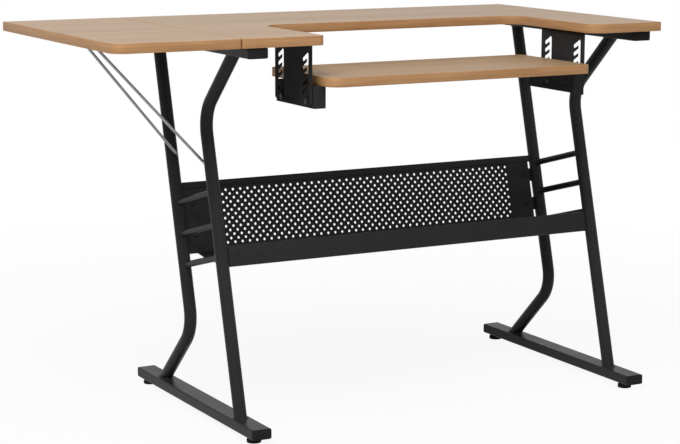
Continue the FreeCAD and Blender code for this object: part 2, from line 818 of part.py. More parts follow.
def hinge_screws(side):
    """Small screws of the hinge plates on one side of the seam."""
    up = FreeCAD.Vector(0, 0, 1)
    x = seam_x + side * (hinge_plate_gap + hinge_plate_width / 2)
    screws = []
    for place in hinge_places:
        for offset in (-1, 1):
            y = place + offset * (hinge_length / 2 - hinge_screw_inset)
            seat = FreeCAD.Vector(x, y, under_z - hinge_plate_thickness)
            length = hinge_plate_thickness + screw_bite
            screws.append(screw(seat, up, length, small_screw_diameter,
                                small_screw_head_diameter, small_screw_head_height))
    return screws


def post_face(floor_y, side):
    """Where a line from front to back at the bail's pivot meets a post's outside."""
    return post_line(floor_y, bail_pivot_height) + side * post_diameter / 2 / lean_cosine


def bush_ends():
    """Bush spans from front to back, at the front post and at the rear post."""
    front_face = post_face(front_post_y, 1)
    rear_face = post_face(rear_post_y, -1)
    return [(front_face - bush_depth, front_face + bush_stand_out),
            (rear_face - bush_stand_out, rear_face + bush_depth)]


def bush_bar(span, radius):
    """Round bar along the bail's pivot axis."""
    start = FreeCAD.Vector(left_frame_x, span[0], bail_pivot_height)
    end = FreeCAD.Vector(left_frame_x, span[1], bail_pivot_height)
    return rod(start, end, radius)


def bush_radius():
    """Outer radius of the bail's bushes, and of their holes in the posts."""
    return bail_wire_diameter / 2 + bail_bush_clearance + bush_wall


def bail_bushes():
    """Plastic bushes in the left posts, in which the bail's ends turn."""
    bore = bail_wire_diameter / 2 + bail_bush_clearance
    return group([bush_bar(span, bush_radius()).cut(bush_bar(span, bore)) for span in bush_ends()])


def leaf_bail():
    """One bent wire: pivot ends in the posts, two converging legs and a bar under the leaf."""
    (front_low, front_high), (rear_low, rear_high) = bush_ends()
    half_foot = bail_foot_width / 2
    half_top = bail_top_width / 2
    points = [
        FreeCAD.Vector(left_frame_x, front_low + bail_end_gap, bail_pivot_height),
        FreeCAD.Vector(left_frame_x, bail_middle_y - half_foot, bail_pivot_height),
        FreeCAD.Vector(bail_bar_x, bail_middle_y - half_top, bail_bar_z),
        FreeCAD.Vector(bail_bar_x, bail_middle_y + half_top, bail_bar_z),
        FreeCAD.Vector(left_frame_x, bail_middle_y + half_foot, bail_pivot_height),
        FreeCAD.Vector(left_frame_x, rear_high - bail_end_gap, bail_pivot_height),
    ]
    return swept_bar(points, bail_bend_radius, bail_wire_diameter / 2)


def bail_catch():
    """Catch under the leaf: a pad over the bail's bar and a rib that stops it on its inner side."""
    low_y = bail_middle_y - catch_width / 2
    high_y = bail_middle_y + catch_width / 2
    pad_z = under_z - catch_pad_thickness
    pad = box(bail_bar_x - catch_pad_outer, bail_bar_x + catch_pad_inner, low_y, high_y, pad_z, under_z)
    rib_x = bail_bar_x + bail_wire_diameter / 2 + catch_rib_gap
    rib = box(rib_x, rib_x + catch_rib_width, bail_middle_y - catch_rib_length / 2,
              bail_middle_y + catch_rib_length / 2, pad_z - catch_rib_depth, pad_z)
    return pad.fuse(rib)


def catch_screws():
    """Screws that hold the catch to the leaf."""
    up = FreeCAD.Vector(0, 0, 1)
    length = catch_pad_thickness + screw_bite
    x = bail_bar_x - catch_pad_outer / 2
    screws = []
    for side in (-1, 1):
        y = bail_middle_y + side * (catch_width / 2 - small_screw_head_diameter)
        seat = FreeCAD.Vector(x, y, under_z - catch_pad_thickness)
        screws.append(screw(seat, up, length, small_screw_diameter,
                            small_screw_head_diameter, small_screw_head_height))
    return screws


def post_tube(bar, center_x):
    """Post as a tube, from the function that draws it as a bar."""
    return bar(center_x, 0).cut(bar(center_x, post_wall))


def drilled_post(bar):
    """Left post's tube with the hole for a bush of the bail."""
    holes = [bush_bar(span, bush_radius()) for span in bush_ends()]
    return post_tube(bar, left_frame_x).cut(group(holes))


def drilled(board, cutters):
    """Board with the pilot holes that its screws fill."""
    return board.cut(group(cutters))


def main():
    """Build every piece and write it under its own name."""
    top_board, top_band = main_top_pieces()
    leaf_board, leaf_band = leaf_pieces()
    platform_board, platform_band = platform_pieces()
    hinge_fixed, hinge_moving, hinge_pins = hinge_pieces()
    left_plate = hanger_plate()
    left_bracket = platform_bracket(left_bracket_rear_y, left_bracket_height)
    right_bracket = platform_bracket(right_bracket_rear_y, right_bracket_height)
    plate_screws = hanger_screws()
    plate_screws += [mirrored(solid, platform_middle_x) for solid in plate_screws]
    bracket_screws = [wood_screw(seat, bracket_thickness)
                      for seat in bracket_screw_seats(left_bracket_rear_y)]
    bracket_screws += [mirrored(wood_screw(seat, bracket_thickness), platform_middle_x)
                       for seat in bracket_screw_seats(right_bracket_rear_y)]
    pins = guide_pins()
    pins += [mirrored(solid, platform_middle_x) for solid in pins]
    rail_screws = [wood_screw(seat, tube_height)
                   for center_x in (left_frame_x, right_frame_x) for seat in rail_screw_seats(center_x)]
    fixed_hinge_screws = hinge_screws(1)
    leaf_hinge_screws = hinge_screws(-1)
    leaf_catch_screws = catch_screws()
    main_screws = plate_screws + rail_screws + fixed_hinge_screws
    shapes = {
        "main_top": drilled(top_board, main_screws),
        "main_top_edge_band": top_band,
        "drop_leaf": drilled(leaf_board, leaf_hinge_screws + leaf_catch_screws),
        "drop_leaf_edge_band": leaf_band,
        "machine_platform": drilled(platform_board, bracket_screws),
        "machine_platform_edge_band": platform_band,
        "hanger_plate_left": left_plate.cut(group(plate_screws)),
        "hanger_plate_right": mirrored(left_plate, platform_middle_x).cut(group(plate_screws)),
        "hanger_plate_screws": group(plate_screws),
        "platform_bracket_left": left_bracket,
        "platform_bracket_right": mirrored(right_bracket, platform_middle_x),
        "platform_bracket_screws": group(bracket_screws),
        "platform_guide_pins": group(pins),
        "left_foot_tube": foot_tube(left_frame_x),
        "right_foot_tube": foot_tube(right_frame_x),
        "foot_end_caps": tube_caps(foot_bottom_z, foot_front_y + cap_thickness, foot_rear_y - cap_thickness),
        "left_top_rail": top_rail(left_frame_x),
        "right_top_rail": top_rail(right_frame_x),
        "rail_end_caps": tube_caps(rail_bottom_z, rail_front_y + cap_thickness, rail_rear_y - cap_thickness),
        "top_rail_screws": group(rail_screws),
        "left_front_post": drilled_post(front_post_bar),
        "left_rear_post": drilled_post(rear_post_bar),
        "right_front_post": post_tube(front_post_bar, right_frame_x),
        "right_rear_post": post_tube(rear_post_bar, right_frame_x),
        "left_rungs": rungs(left_frame_x, left_rung_height),
        "right_rungs": rungs(right_frame_x, right_rung_height),
        "leveller_left_front": leveller(left_frame_x, leveller_places[0]),
        "leveller_left_rear": leveller(left_frame_x, leveller_places[1]),
        "leveller_right_front": leveller(right_frame_x, leveller_places[0]),
        "leveller_right_rear": leveller(right_frame_x, leveller_places[1]),
        "leveller_nuts": leveller_nuts(),
        "shelf_back_panel": shelf_panel(),
        "shelf_tray": shelf_tray(),
        "shelf_tabs": shelf_tabs(),
        "shelf_screws": shelf_screws(),
        "leaf_hinge_fixed_plates": hinge_fixed.cut(group(fixed_hinge_screws)),
        "leaf_hinge_moving_plates": hinge_moving.cut(group(leaf_hinge_screws)),
        "leaf_hinge_pins": hinge_pins,
        "leaf_hinge_fixed_screws": group(fixed_hinge_screws),
        "leaf_hinge_moving_screws": group(leaf_hinge_screws),
        "leaf_bail": leaf_bail(),
        "bail_bushes": bail_bushes(),
        "bail_catch": bail_catch().cut(group(leaf_catch_screws)),
        "bail_catch_screws": group(leaf_catch_screws),
    }
    os.makedirs("parts", exist_ok=True)
    for name, shape in shapes.items():
        shape.exportStep("parts/" + name + ".step")
    report(shapes)


def report(shapes):
    """Say how large the table is and what each piece holds."""
    whole = Part.makeCompound(list(shapes.values())).BoundBox
    print("box", [round(value, 2) for value in
                  (whole.XMin, whole.XMax, whole.YMin, whole.YMax, whole.ZMin, whole.ZMax)])
    for name, shape in shapes.items():
        print(name, len(shape.Solids), "solids", round(shape.Volume / 1000, 2), "cm3", shape.isValid())


main()
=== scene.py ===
import json
import math

import bmesh
import bpy
from mathutils import Matrix, Vector

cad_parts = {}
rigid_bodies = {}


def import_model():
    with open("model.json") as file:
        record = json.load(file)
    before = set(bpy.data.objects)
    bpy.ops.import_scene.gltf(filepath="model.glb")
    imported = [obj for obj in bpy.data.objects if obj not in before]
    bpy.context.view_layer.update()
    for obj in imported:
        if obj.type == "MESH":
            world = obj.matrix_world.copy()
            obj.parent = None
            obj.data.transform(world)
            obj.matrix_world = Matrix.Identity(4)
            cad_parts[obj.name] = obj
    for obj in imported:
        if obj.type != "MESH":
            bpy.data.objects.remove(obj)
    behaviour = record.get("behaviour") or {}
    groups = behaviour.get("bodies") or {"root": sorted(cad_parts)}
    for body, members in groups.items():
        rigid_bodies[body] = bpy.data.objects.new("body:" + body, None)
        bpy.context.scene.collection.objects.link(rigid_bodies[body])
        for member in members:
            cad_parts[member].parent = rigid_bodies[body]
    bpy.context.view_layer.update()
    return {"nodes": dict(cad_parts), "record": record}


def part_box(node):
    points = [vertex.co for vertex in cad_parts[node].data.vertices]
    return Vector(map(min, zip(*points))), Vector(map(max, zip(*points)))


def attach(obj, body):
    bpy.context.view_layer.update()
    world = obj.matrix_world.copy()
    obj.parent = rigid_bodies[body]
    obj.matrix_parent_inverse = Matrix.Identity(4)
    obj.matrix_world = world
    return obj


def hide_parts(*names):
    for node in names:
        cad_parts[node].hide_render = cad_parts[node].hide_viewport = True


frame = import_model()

bl_info = {
    "name": "Sewing machine table",
    "version": (1, 0, 0),
    "blender": (4, 5, 0),
    "location": "View3D > Sidebar > Sewing table",
    "description": "Builds the finished boards, shelf, hardware and stage of a sewing machine table",
    "category": "Object",
}

FRAMES = "end_frames_and_top"
LEAF = "drop_leaf"
PLATFORM = "machine_platform"
NODE_SLOTS = {row["node"]: row["material_slot"] for row in frame["record"]["subparts"]}
NODE_BODIES = {node: body for body, nodes in frame["record"]["behaviour"]["bodies"].items()
               for node in nodes}
FINISHES = {}

# Points nearer than this count as one place, and those nearer than the next two are merged
NEAR = 0.00005
MERGE = 0.000002
TILE_MERGE = 0.00001

# Angles up to which faces shade smoothly or count as flat, and past which edges are rounded
SMOOTH_ANGLE = math.radians(35)
FLAT_ANGLE = math.radians(1)
METAL_EDGE_ANGLE = math.radians(50)
BOARD_EDGE_ANGLE = 1.0
FOOT_EDGE_ANGLE = 0.5

# Steps of a board's rounded corner for each metre of its radius
CORNER_STEPS = 400

# Turn and drop of the lip's hem and rounding of the panel's hem, in shares of the sheet
HEM_TURN, HEM_DROP, HEM_ROUND = 1.2, 0.2, 0.4

# Sides of turned pieces, and steps of a weld bead along and round it
HEAD_SIDES, SHANK_SIDES, FOOT_SIDES = 24, 10, 40
BEAD_STEPS, BEAD_SIDES = 44, 8

# Screws, in shares of the head's height or radius, and the turn from one screw to the next
HEAD_ROUND = 0.6
RECESS_LOW, RECESS_HIGH = 1.2, 0.45
RECESS_ARMS = ((0.13, 0.55), (0.55, 0.13))
SHANK_POINT = 0.45
SCREW_TWIST = 0.7

# Rungs of a frame, the size of their beads against a post's, and the ripple of a bead
RUNGS = 3
RUNG_WELD = 0.6
WELD_RIPPLE = 0.14

# Lamps by name, place, size and power, the light from all round, and the floor with its shadow
LAMPS = (
    ("key_lamp", (-2.0, -1.5, 3.3), 2.4, 132),
    ("fill_lamp", (1.0, -2.8, 2.6), 2.2, 32),
)
LAMP_AIM = Vector((0, 0, 0.5))
SKY_LIGHT = 0.08
FLOOR_SIZE = 120
SHADOW_SHARE = 0.1
SHADOW_FADE = 0.45

# Camera at the photograph's place, with its focal length in pixels of the picture's width
PICTURE_WIDTH = 680
FOCAL_PIXELS = 1988.48
SENSOR_WIDTH = 36
VIEW_END = 200
CAMERA_PLACE = (-1.89037, -3.49929, 1.06093)
CAMERA_TURN, CAMERA_PITCH, CAMERA_ROLL = -0.49877, 0.1759, 0.0026


def size(name, description, default):
    """A length that a user may change."""
    return bpy.props.FloatProperty(name=name, description=description, default=default, unit="LENGTH",
                                   subtype="DISTANCE", precision=5)


def turn(name, description, degrees):
    """An angle that a user may change."""
    return bpy.props.FloatProperty(name=name, description=description, default=math.radians(degrees),
                                   unit="ROTATION", subtype="ANGLE")


def count(name, description, default):
    """A number of things that a user may change."""
    return bpy.props.IntProperty(name=name, description=description, default=default, min=1)


def colour(name, description, default):
    """A colour that a user may change."""
    return bpy.props.FloatVectorProperty(name=name, description=description, default=default, size=3,
                                         min=0, max=1, subtype="COLOR")


class TableSizes(bpy.types.PropertyGroup):
    """Sizes of the finished pieces, which follow the frame."""

    band: size("Edge band", "Thickness of the band round a board", 0.001)
    edge_round: size("Edge rounding", "Rounding of a board's outer edges", 0.0007)
    seam_radius: size("Seam corner", "Corner radius of the boards at the leaf's seam", 0.004)
    leaf_front_radius: size("Leaf front corner", "Radius of the leaf's free front corner", 0.026)
    leaf_rear_radius: size("Leaf rear corner", "Radius of the leaf's free rear corner", 0.004)
    right_radius: size("Right corners", "Radius of the top's right corners", 0.004)
    notch_left: size("Notch left", "Left side of the notch, along the table", -0.169)
    notch_right_front: size("Notch right front", "Right side of the notch at the front", 0.416)
    notch_right_rear: size("Notch right rear", "Right side of the notch at its back", 0.426)
    notch_back: size("Notch back", "Back of the notch", -0.014)
    notch_radius: size("Notch corners", "Radius of the notch's inner corners", 0.04)
    left_arm_radius: size("Left arm corner", "Radius at the notch's front left corner", 0.015)
    right_arm_radius: size("Right arm corner", "Radius at the notch's front right corner", 0.036)
    platform_left_radius: size("Platform left", "Radius of the platform's front left corner", 0.03)
    platform_right_radius: size("Platform right", "Radius of the platform's front right corner", 0.008)
    platform_rear_radius: size("Platform rear", "Radius of the platform's rear corners", 0.005)
    left_frame: size("Left frame", "Middle of the left end frame, along the table", -0.306)
    right_frame: size("Right frame", "Middle of the right end frame, along the table", 0.552)
    front_post: size("Front posts", "Where the front posts' lines meet the floor", -0.2058)
    rear_post: size("Rear posts", "Where the rear posts' lines meet the floor", -0.0216)
    post_radius: size("Post radius", "Outer radius of the posts", 0.0125)
    front_bend: size("Front bend", "Height of the front posts' bend", 0.598)
    rear_bend: size("Rear bend", "Height of the rear posts' bend", 0.1605)
    foot_top: size("Foot tube top", "Height of the foot tubes' upper side", 0.032)
    rail_bottom: size("Top rail underside", "Height of the top rails' lower side", 0.722)
    post_lean: turn("Post lean", "Lean of the posts to the back", 14.9)
    bend_lean: turn("Bent lean", "Lean of the posts' bent ends", 46.5)
    rung_radius: size("Rung radius", "Radius of the rungs", 0.0064)
    rung_pitch: size("Rung pitch", "Height from one rung to the next", 0.0603)
    left_rung: size("Left rungs", "Height of the lowest left rung", 0.307)
    right_rung: size("Right rungs", "Height of the lowest right rung", 0.328)
    weld: size("Weld bead", "Radius of a weld bead", 0.0021)
    sheet: size("Shelf sheet", "Thickness of the shelf's sheet steel", 0.0015)
    shelf_floor: size("Shelf floor", "Height of the shelf's floor at its front", 0.311)
    shelf_fall: size("Shelf fall", "How much lower the shelf's floor is at its back", 0.0055)
    shelf_lip: size("Shelf lip", "Height of the shelf's front lip", 0.348)
    shelf_back: size("Shelf back", "Height of the shelf's back panel", 0.4428)
    shelf_fold: size("Shelf fold", "Radius of the fold between floor and lip", 0.003)
    lip_hem: size("Lip hem", "Depth of the hem turned in along the lip", 0.009)
    panel_hem: size("Panel hem", "Depth of the hem along the panel's top edge", 0.014)
    panel_left_gap: size("Panel left gap", "Gap between the panel and the left post", 0.001)
    panel_right_gap: size("Panel right gap", "Gap between the panel and the right post", 0.0065)
    corner_cut: size("Corner cut", "Width cut off the shelf floor's rear corners", 0.017)
    corner_cut_depth: size("Corner cut depth", "Depth of those cuts", 0.084)
    hole_pitch: size("Hole pitch", "From one hole of the panel to the next in a row", 0.01637)
    hole_radius: size("Hole radius", "Radius of the panel's round holes", 0.0027)
    first_hole: size("First hole", "First hole of the panel, along the table", -0.2226)
    first_row: size("First row", "Distance of the first row of holes from the top edge", 0.0213)
    hole_columns: count("Hole columns", "Holes in a row", 43)
    hole_rows: count("Hole row pairs", "Pairs of staggered rows", 7)
    cap_corner: size("Cap corner", "Rounding of an end cap's corners", 0.003)
    cap_edge: size("Cap edge", "Rounding of an end cap's outer edge", 0.0009)
    cap_wall: size("Cap wall", "How far a cap's plug stands in from its rim", 0.0016)
    cap_plug: size("Cap plug", "How far a cap's plug reaches into its tube", 0.0079)
    metal_edge: size("Sheet edge", "Rounding of sheet metal edges", 0.0003)
    screw_head: size("Screw head", "Height of the large screws' heads", 0.0024)
    screw_shank: size("Screw shank", "Radius of the large screws' shanks", 0.002)
    small_head: size("Small screw head", "Height of the small screws' heads", 0.0012)
    small_shank: size("Small screw shank", "Radius of the small screws' shanks", 0.0012)
    pad_height: size("Foot pad", "Height of the levelling feet's pads", 0.006)
    shoulder_top: size("Foot shoulder", "Height of the slope between a foot's pad and neck", 0.01)
    foot_round: size("Foot rounding", "Rounding of a levelling foot's pad", 0.001)
    neck_radius: size("Foot neck", "Radius of the neck on a levelling foot's pad", 0.01)
    neck_top: size("Foot neck top", "Height of that neck's upper end", 0.0117)
    stem_radius: size("Foot stem", "Radius of a levelling foot's stem", 0.004)


class TableColours(bpy.types.PropertyGroup):
    """Colours of the finishes."""

    wood_light: colour("Light wood", "Lightest tone of the laminate", (0.412, 0.265, 0.148))
    wood_mid: colour("Middle wood", "Middle tone of the laminate", (0.36, 0.225, 0.118))
    wood_dark: colour("Dark wood", "Darkest tone of the laminate", (0.265, 0.151, 0.072))
    band_light: colour("Light band", "Lighter tone of the edge band", (0.503, 0.28, 0.127))
    band_dark: colour("Dark band", "Darker tone of the edge band", (0.364, 0.178, 0.068))
    steel: colour("Black steel", "Powder coat of the frames", (0.022, 0.022, 0.0222))
    plastic: colour("Black plastic", "Caps, feet, bushes and catch", (0.0135, 0.0135, 0.0136))
    wire: colour("Bright wire", "Plating of the bail", (0.31, 0.31, 0.316))
    zinc: colour("Zinc", "Plating of hinges and screws", (0.42, 0.42, 0.43))
    floor: colour("Floor", "Studio floor", (0.85, 0.85, 0.85))


class Wire:
    """A socket of a finish. Arithmetic on it adds Math nodes."""

    def __init__(self, finish, socket):
        self.finish = finish
        self.socket = socket

    def reckon(self, operation, first, second):
        """One Math node on two values."""
        return self.finish.node("ShaderNodeMath", {"operation": operation}, {0: first, 1: second})

    def __add__(self, other):
        return self.reckon("ADD", self, other)

    __radd__ = __add__

    def __sub__(self, other):
        return self.reckon("SUBTRACT", self, other)

    def __rsub__(self, other):
        return self.reckon("SUBTRACT", other, self)

    def __mul__(self, other):
        return self.reckon("MULTIPLY", self, other)

    __rmul__ = __mul__

    def limited(self):
        """This value, kept from 0 to 1."""
        return self.finish.node("ShaderNodeClamp", {}, {"Value": self})

    def larger(self, other):
        """The larger of two values."""
        return self.reckon("MAXIMUM", self, other)


class Finish:
    """A material, or the world, that is built node by node."""

    def __init__(self, name, library=None):
        owner = (bpy.data.materials if library is None else library).new(name)
        owner.use_nodes = True
        self.tree = owner.node_tree
        self.tree.nodes.clear()
        FINISHES[name] = owner

    def node(self, kind, settings, inputs, output=0):
        """Add a node with its settings and the values or links of its sockets. Gives one output."""
        node = self.tree.nodes.new(kind)
        for key, value in settings.items():
            if key == "stops":
                self.set_stops(node.color_ramp, value)
            else:
                setattr(node, key, value)
        for key, value in inputs.items():
            if isinstance(value, Wire):
                self.tree.links.new(value.socket, node.inputs[key])
            else:
                node.inputs[key].default_value = value
        return Wire(self, node.outputs[output]) if node.outputs else node

    def set_stops(self, ramp, stops):
        """Give a colour ramp its stops."""
        while len(ramp.elements) < len(stops):
            ramp.elements.new(1)
        for element, (place, value) in zip(ramp.elements, stops):
            element.position = place
            element.color = (*value, 1)

    def where(self):
        """Object coordinates."""
        return self.node("ShaderNodeTexCoord", {}, {}, "Object")

    def place(self, scale):
        """Object coordinates, stretched."""
        return self.node("ShaderNodeMapping", {}, {"Vector": self.where(), "Scale": scale})

    def noise(self, scale, detail=3.0, roughness=0.55, distortion=0.0):
        """Noise on stretched object coordinates, from 0 to 1."""
        return self.node("ShaderNodeTexNoise", {}, {
            "Vector": self.place(scale), "Scale": 1.0, "Detail": detail, "Roughness": roughness,
            "Distortion": distortion})

    def ramp(self, value, stops):
        """Colour from a value."""
        return self.node("ShaderNodeValToRGB", {"stops": stops}, {"Fac": value})

    def mixed(self, share, first, second):
        """Mix of two colours."""
        return self.node("ShaderNodeMix", {"data_type": "RGBA"}, {0: share, 6: first, 7: second}, 2)

    def bump(self, height, distance, strength):
        """Surface relief from a height."""
        return self.node("ShaderNodeBump", {}, {
            "Height": height, "Distance": distance, "Strength": strength})

    def seen(self):
        """1 for what the camera, a mirror or a glass shows, and 0 for light on the object."""
        rays = [self.node("ShaderNodeLightPath", {}, {}, "Is %s Ray" % kind)
                for kind in ("Camera", "Glossy", "Transmission")]
        return rays[0].larger(rays[1]).larger(rays[2])

    def surface(self, inputs):
        """Close the finish with a principled shader."""
        shader = self.node("ShaderNodeBsdfPrincipled", {}, inputs)
        self.node("ShaderNodeOutputMaterial", {}, {"Surface": shader})


def opaque(value, share=1, lift=0):
    """A colour with its alpha, made darker or lighter if asked."""
    return (*(channel * share + lift for channel in value), 1)


def laminate_finish(colours):
    """Wood-effect laminate: long grain along the table, with fine dark pores."""
    finish = Finish("laminate_board")
    broad = finish.noise((1.3, 11, 11), 4, 0.6, 0.4)
    figure = finish.noise((2.4, 38, 38), 5, 0.6, 0.8)
    grain = finish.noise((7, 210, 210), 5, 0.7)
    pores = finish.noise((22, 620, 620), 2, 0.5)
    tone = broad * 0.5 + figure * 0.32 + grain * 0.18
    wood = finish.ramp(tone, [
        (0.33, colours.wood_dark), (0.5, colours.wood_mid), (0.66, colours.wood_light)])
    pore = ((pores - 0.6) * 7).limited()
    wood = finish.mixed(pore * 0.4, wood, opaque(colours.wood_dark))
    finish.surface({
        "Base Color": wood,
        "Roughness": 0.36 + grain * 0.16,
        "Normal": finish.bump(grain * 0.5 - pore * 0.5, 0.0002, 0.25),
        "Specular IOR Level": 0.42,
    })


def band_finish(colours):
    """Edge band: fine lines that run along the edge."""
    finish = Finish("edge_band")
    lines = finish.noise((5, 5, 520), 4, 0.65)
    broad = finish.noise((9, 9, 130), 3, 0.5)
    tone = lines * 0.6 + broad * 0.4
    wood = finish.ramp(tone, [(0.36, colours.band_dark), (0.64, colours.band_light)])
    finish.surface({
        "Base Color": wood,
        "Roughness": 0.42 + lines * 0.16,
        "Normal": finish.bump(lines, 0.0002, 0.2),
        "Specular IOR Level": 0.35,
    })


def steel_finish(colours):
    """Black powder coat with a fine orange peel: satin on the frames, matt on the hangers."""
    for name, shade, roughness, sheen in (
            ("black_steel", 1, 0.22, 0.07), ("matt_steel", 1.4, 0.5, 0.003)):
        finish = Finish(name)
        peel = finish.noise((1100,) * 3, 2, 0.5)
        cloud = finish.noise((18,) * 3, 3, 0.5)
        dust = finish.noise((420,) * 3, 2, 0.6)
        base = opaque(colours.steel, shade)
        pale = opaque(colours.steel, shade * 1.6, 0.002)
        finish.surface({
            "Base Color": finish.mixed(((dust - 0.5) * 1.6 + cloud * 0.5).limited(), base, pale),
            "Roughness": roughness + cloud * 0.16 + peel * 0.06,
            "Normal": finish.bump(peel, 0.0003, 0.22),
            "Specular IOR Level": sheen,
        })


def plastic_finish(colours):
    """Moulded black plastic with a matt grained face."""
    finish = Finish("black_plastic")
    grain = finish.noise((1500,) * 3, 2, 0.5)
    cloud = finish.noise((60,) * 3, 2, 0.5)
    finish.surface({
        "Base Color": finish.mixed(
            cloud, opaque(colours.plastic), opaque(colours.plastic, 1.5, 0.002)),
        "Roughness": 0.5 + grain * 0.16,
        "Normal": finish.bump(grain, 0.0002, 0.3),
        "Specular IOR Level": 0.06,
    })


def wire_finish(colours):
    """Bright plated wire with faint drawing lines."""
    finish = Finish("chrome_wire")
    lines = finish.noise((900, 900, 70), 3, 0.6)
    cloud = finish.noise((40,) * 3, 2, 0.5)
    finish.surface({
        "Base Color": finish.mixed(cloud * 0.7, opaque(colours.wire), opaque(colours.wire, 0.55)),
        "Metallic": 1.0,
        "Roughness": 0.2 + lines * 0.12,
        "Normal": finish.bump(lines, 0.0001, 0.15),
    })


def zinc_finish(colours):
    """Zinc plating with a patchy grey sheen."""
    finish = Finish("zinc_steel")
    patch = finish.noise((240,) * 3, 3, 0.6)
    fine = finish.noise((1600,) * 3, 2, 0.5)
    finish.surface({
        "Base Color": finish.mixed(patch, opaque(colours.zinc), opaque(colours.zinc, 0.6)),
        "Metallic": 1.0,
        "Roughness": 0.3 + patch * 0.2,
        "Normal": finish.bump(fine, 0.0001, 0.2),
    })


def floor_finish(colours):
    """Pale studio floor that reads as white but keeps the table's shadow."""
    finish = Finish("studio_floor")
    cloud = finish.noise((3,) * 3, 2, 0.5)
    paint = finish.mixed(cloud, opaque(colours.floor), opaque(colours.floor, 1.04))
    diffuse = finish.node("ShaderNodeBsdfDiffuse", {}, {"Color": paint})
    glow = finish.node("ShaderNodeEmission", {}, {"Color": (1, 1, 1, 1), "Strength": 1.0})
    reach = finish.node("ShaderNodeVectorMath", {"operation": "LENGTH"}, {0: finish.where()}, "Value")
    shadow = (1 - reach * SHADOW_FADE).limited() * SHADOW_SHARE
    mix = finish.node("ShaderNodeMixShader", {}, {
        0: finish.seen() * (1 - shadow), 1: diffuse, 2: glow})
    finish.node("ShaderNodeOutputMaterial", {}, {"Surface": mix})


def start_edit():
    """Open the mesh of the piece in hand."""
    bpy.ops.object.mode_set(mode="EDIT")


def end_edit():
    """Close the mesh of the piece in hand."""
    bpy.ops.object.mode_set(mode="OBJECT")


def deselect():
    """Leave edit mode and select nothing."""
    if bpy.context.object is not None and bpy.context.object.mode != "OBJECT":
        end_edit()
    for item in bpy.context.view_layer.objects:
        item.select_set(False)


def hold(piece):
    """Make a piece the only one selected and the one in hand."""
    deselect()
    piece.select_set(True)
    bpy.context.view_layer.objects.active = piece


def rename(piece, name):
    """Name a piece and its mesh."""
    piece.name = name
    piece.data.name = name


def name_piece(name):
    """Name the piece in hand, and go on shaping it."""
    piece = bpy.context.object
    rename(piece, name)
    start_edit()
    return piece


def settle(piece, matrix):
    """Move a piece, and put its new place into its mesh."""
    hold(piece)
    piece.matrix_world = matrix
    bpy.ops.object.transform_apply(location=True, rotation=True, scale=True)
    return piece


def start_between(add, name, low, high):
    """New shape of unit size, stretched between two corners, in edit mode."""
    deselect()
    add(size=1)
    piece = name_piece(name)
    low, high = Vector(low), Vector(high)
    stretch([span or 1 for span in high - low])
    shift((low + high) / 2)
    return piece


def start_block(name, low, high):
    """New block between two corners, in edit mode."""
    return start_between(bpy.ops.mesh.primitive_cube_add, name, low, high)


def start_sheet(name, low, high):
    """New flat sheet between two corners at one height, in edit mode."""
    return start_between(bpy.ops.mesh.primitive_plane_add, name, low, high)


def start_cylinder(name, sides, radius, depth):
    """New upright cylinder round the origin, in edit mode."""
    deselect()
    bpy.ops.mesh.primitive_cylinder_add(vertices=sides, radius=radius, depth=depth)
    return name_piece(name)


def pick(kind, test):
    """Select those vertices, edges or faces of the piece in hand that pass a test."""
    bpy.ops.mesh.select_mode(type=kind)
    bpy.ops.mesh.select_all(action="DESELECT")
    mesh = bmesh.from_edit_mesh(bpy.context.object.data)
    mesh.normal_update()
    parts = {"VERT": mesh.verts, "EDGE": mesh.edges, "FACE": mesh.faces}[kind]
    found = [item for item in parts if test(item)]
    if not found:
        raise RuntimeError("nothing to select on " + bpy.context.object.name)
    for item in found:
        item.select_set(True)
    bmesh.update_edit_mesh(bpy.context.object.data)


def pick_all():
    """Select all of the piece in hand."""
    bpy.ops.mesh.select_all(action="SELECT")


def lies_at(item, axis, place):
    """Whether an edge or a face lies at one place along an axis."""
    return all(abs(vertex.co[axis] - place) < NEAR for vertex in item.verts)


def looks_up(face):
    """Whether a face looks up."""
    return face.normal.z > 0.9


def shift(offset):
    """Move the selection."""
    bpy.ops.transform.translate(value=offset)


def stretch(shares):
    """Scale the selection about its middle."""
    bpy.ops.transform.resize(value=shares)


def round_edges(width, steps):
    """Round the selected edges."""
    bpy.ops.mesh.bevel(offset=width, segments=steps)


def extrude(offset):
    """Pull the selection out."""
    bpy.ops.mesh.extrude_region_move(TRANSFORM_OT_translate={"value": offset})


def middle(item):
    """Middle of an edge or a face."""
    return sum((vertex.co for vertex in item.verts), Vector()) / len(item.verts)


def modify(piece, kind, **settings):
    """Add a modifier to a piece and apply it."""
    hold(piece)
    modifier = piece.modifiers.new(kind.lower(), kind)
    for key, value in settings.items():
        setattr(modifier, key, value)
    bpy.ops.object.modifier_apply(modifier=modifier.name)


def clean(piece):
    """Merge doubles and turn the faces outwards."""
    hold(piece)
    start_edit()
    pick_all()
    bpy.ops.mesh.remove_doubles(threshold=MERGE)
    bpy.ops.mesh.normals_make_consistent(inside=False)
    end_edit()


def joined(name, pieces):
    """Several pieces as one, under a new name."""
    hold(pieces[0])
    for piece in pieces:
        piece.select_set(True)
    if len(pieces) > 1:
        bpy.ops.object.join()
    whole = bpy.context.object
    rename(whole, name)
    return whole


def copied(piece, matrix):
    """Copy of a piece, with its own mesh, moved to another place."""
    twin = piece.copy()
    twin.data = piece.data.copy()
    bpy.context.scene.collection.objects.link(twin)
    return settle(twin, matrix)


def fit(piece, body, slot, *nodes):
    """Finish a piece: smooth it, give it its finish and fix it to a body of the frame."""
    hold(piece)
    bpy.ops.object.shade_smooth_by_angle(angle=SMOOTH_ANGLE)
    piece.data.materials.clear()
    piece.data.materials.append(FINISHES[slot])
    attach(piece, body)
    if nodes:
        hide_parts(*nodes)
    deselect()
    return piece


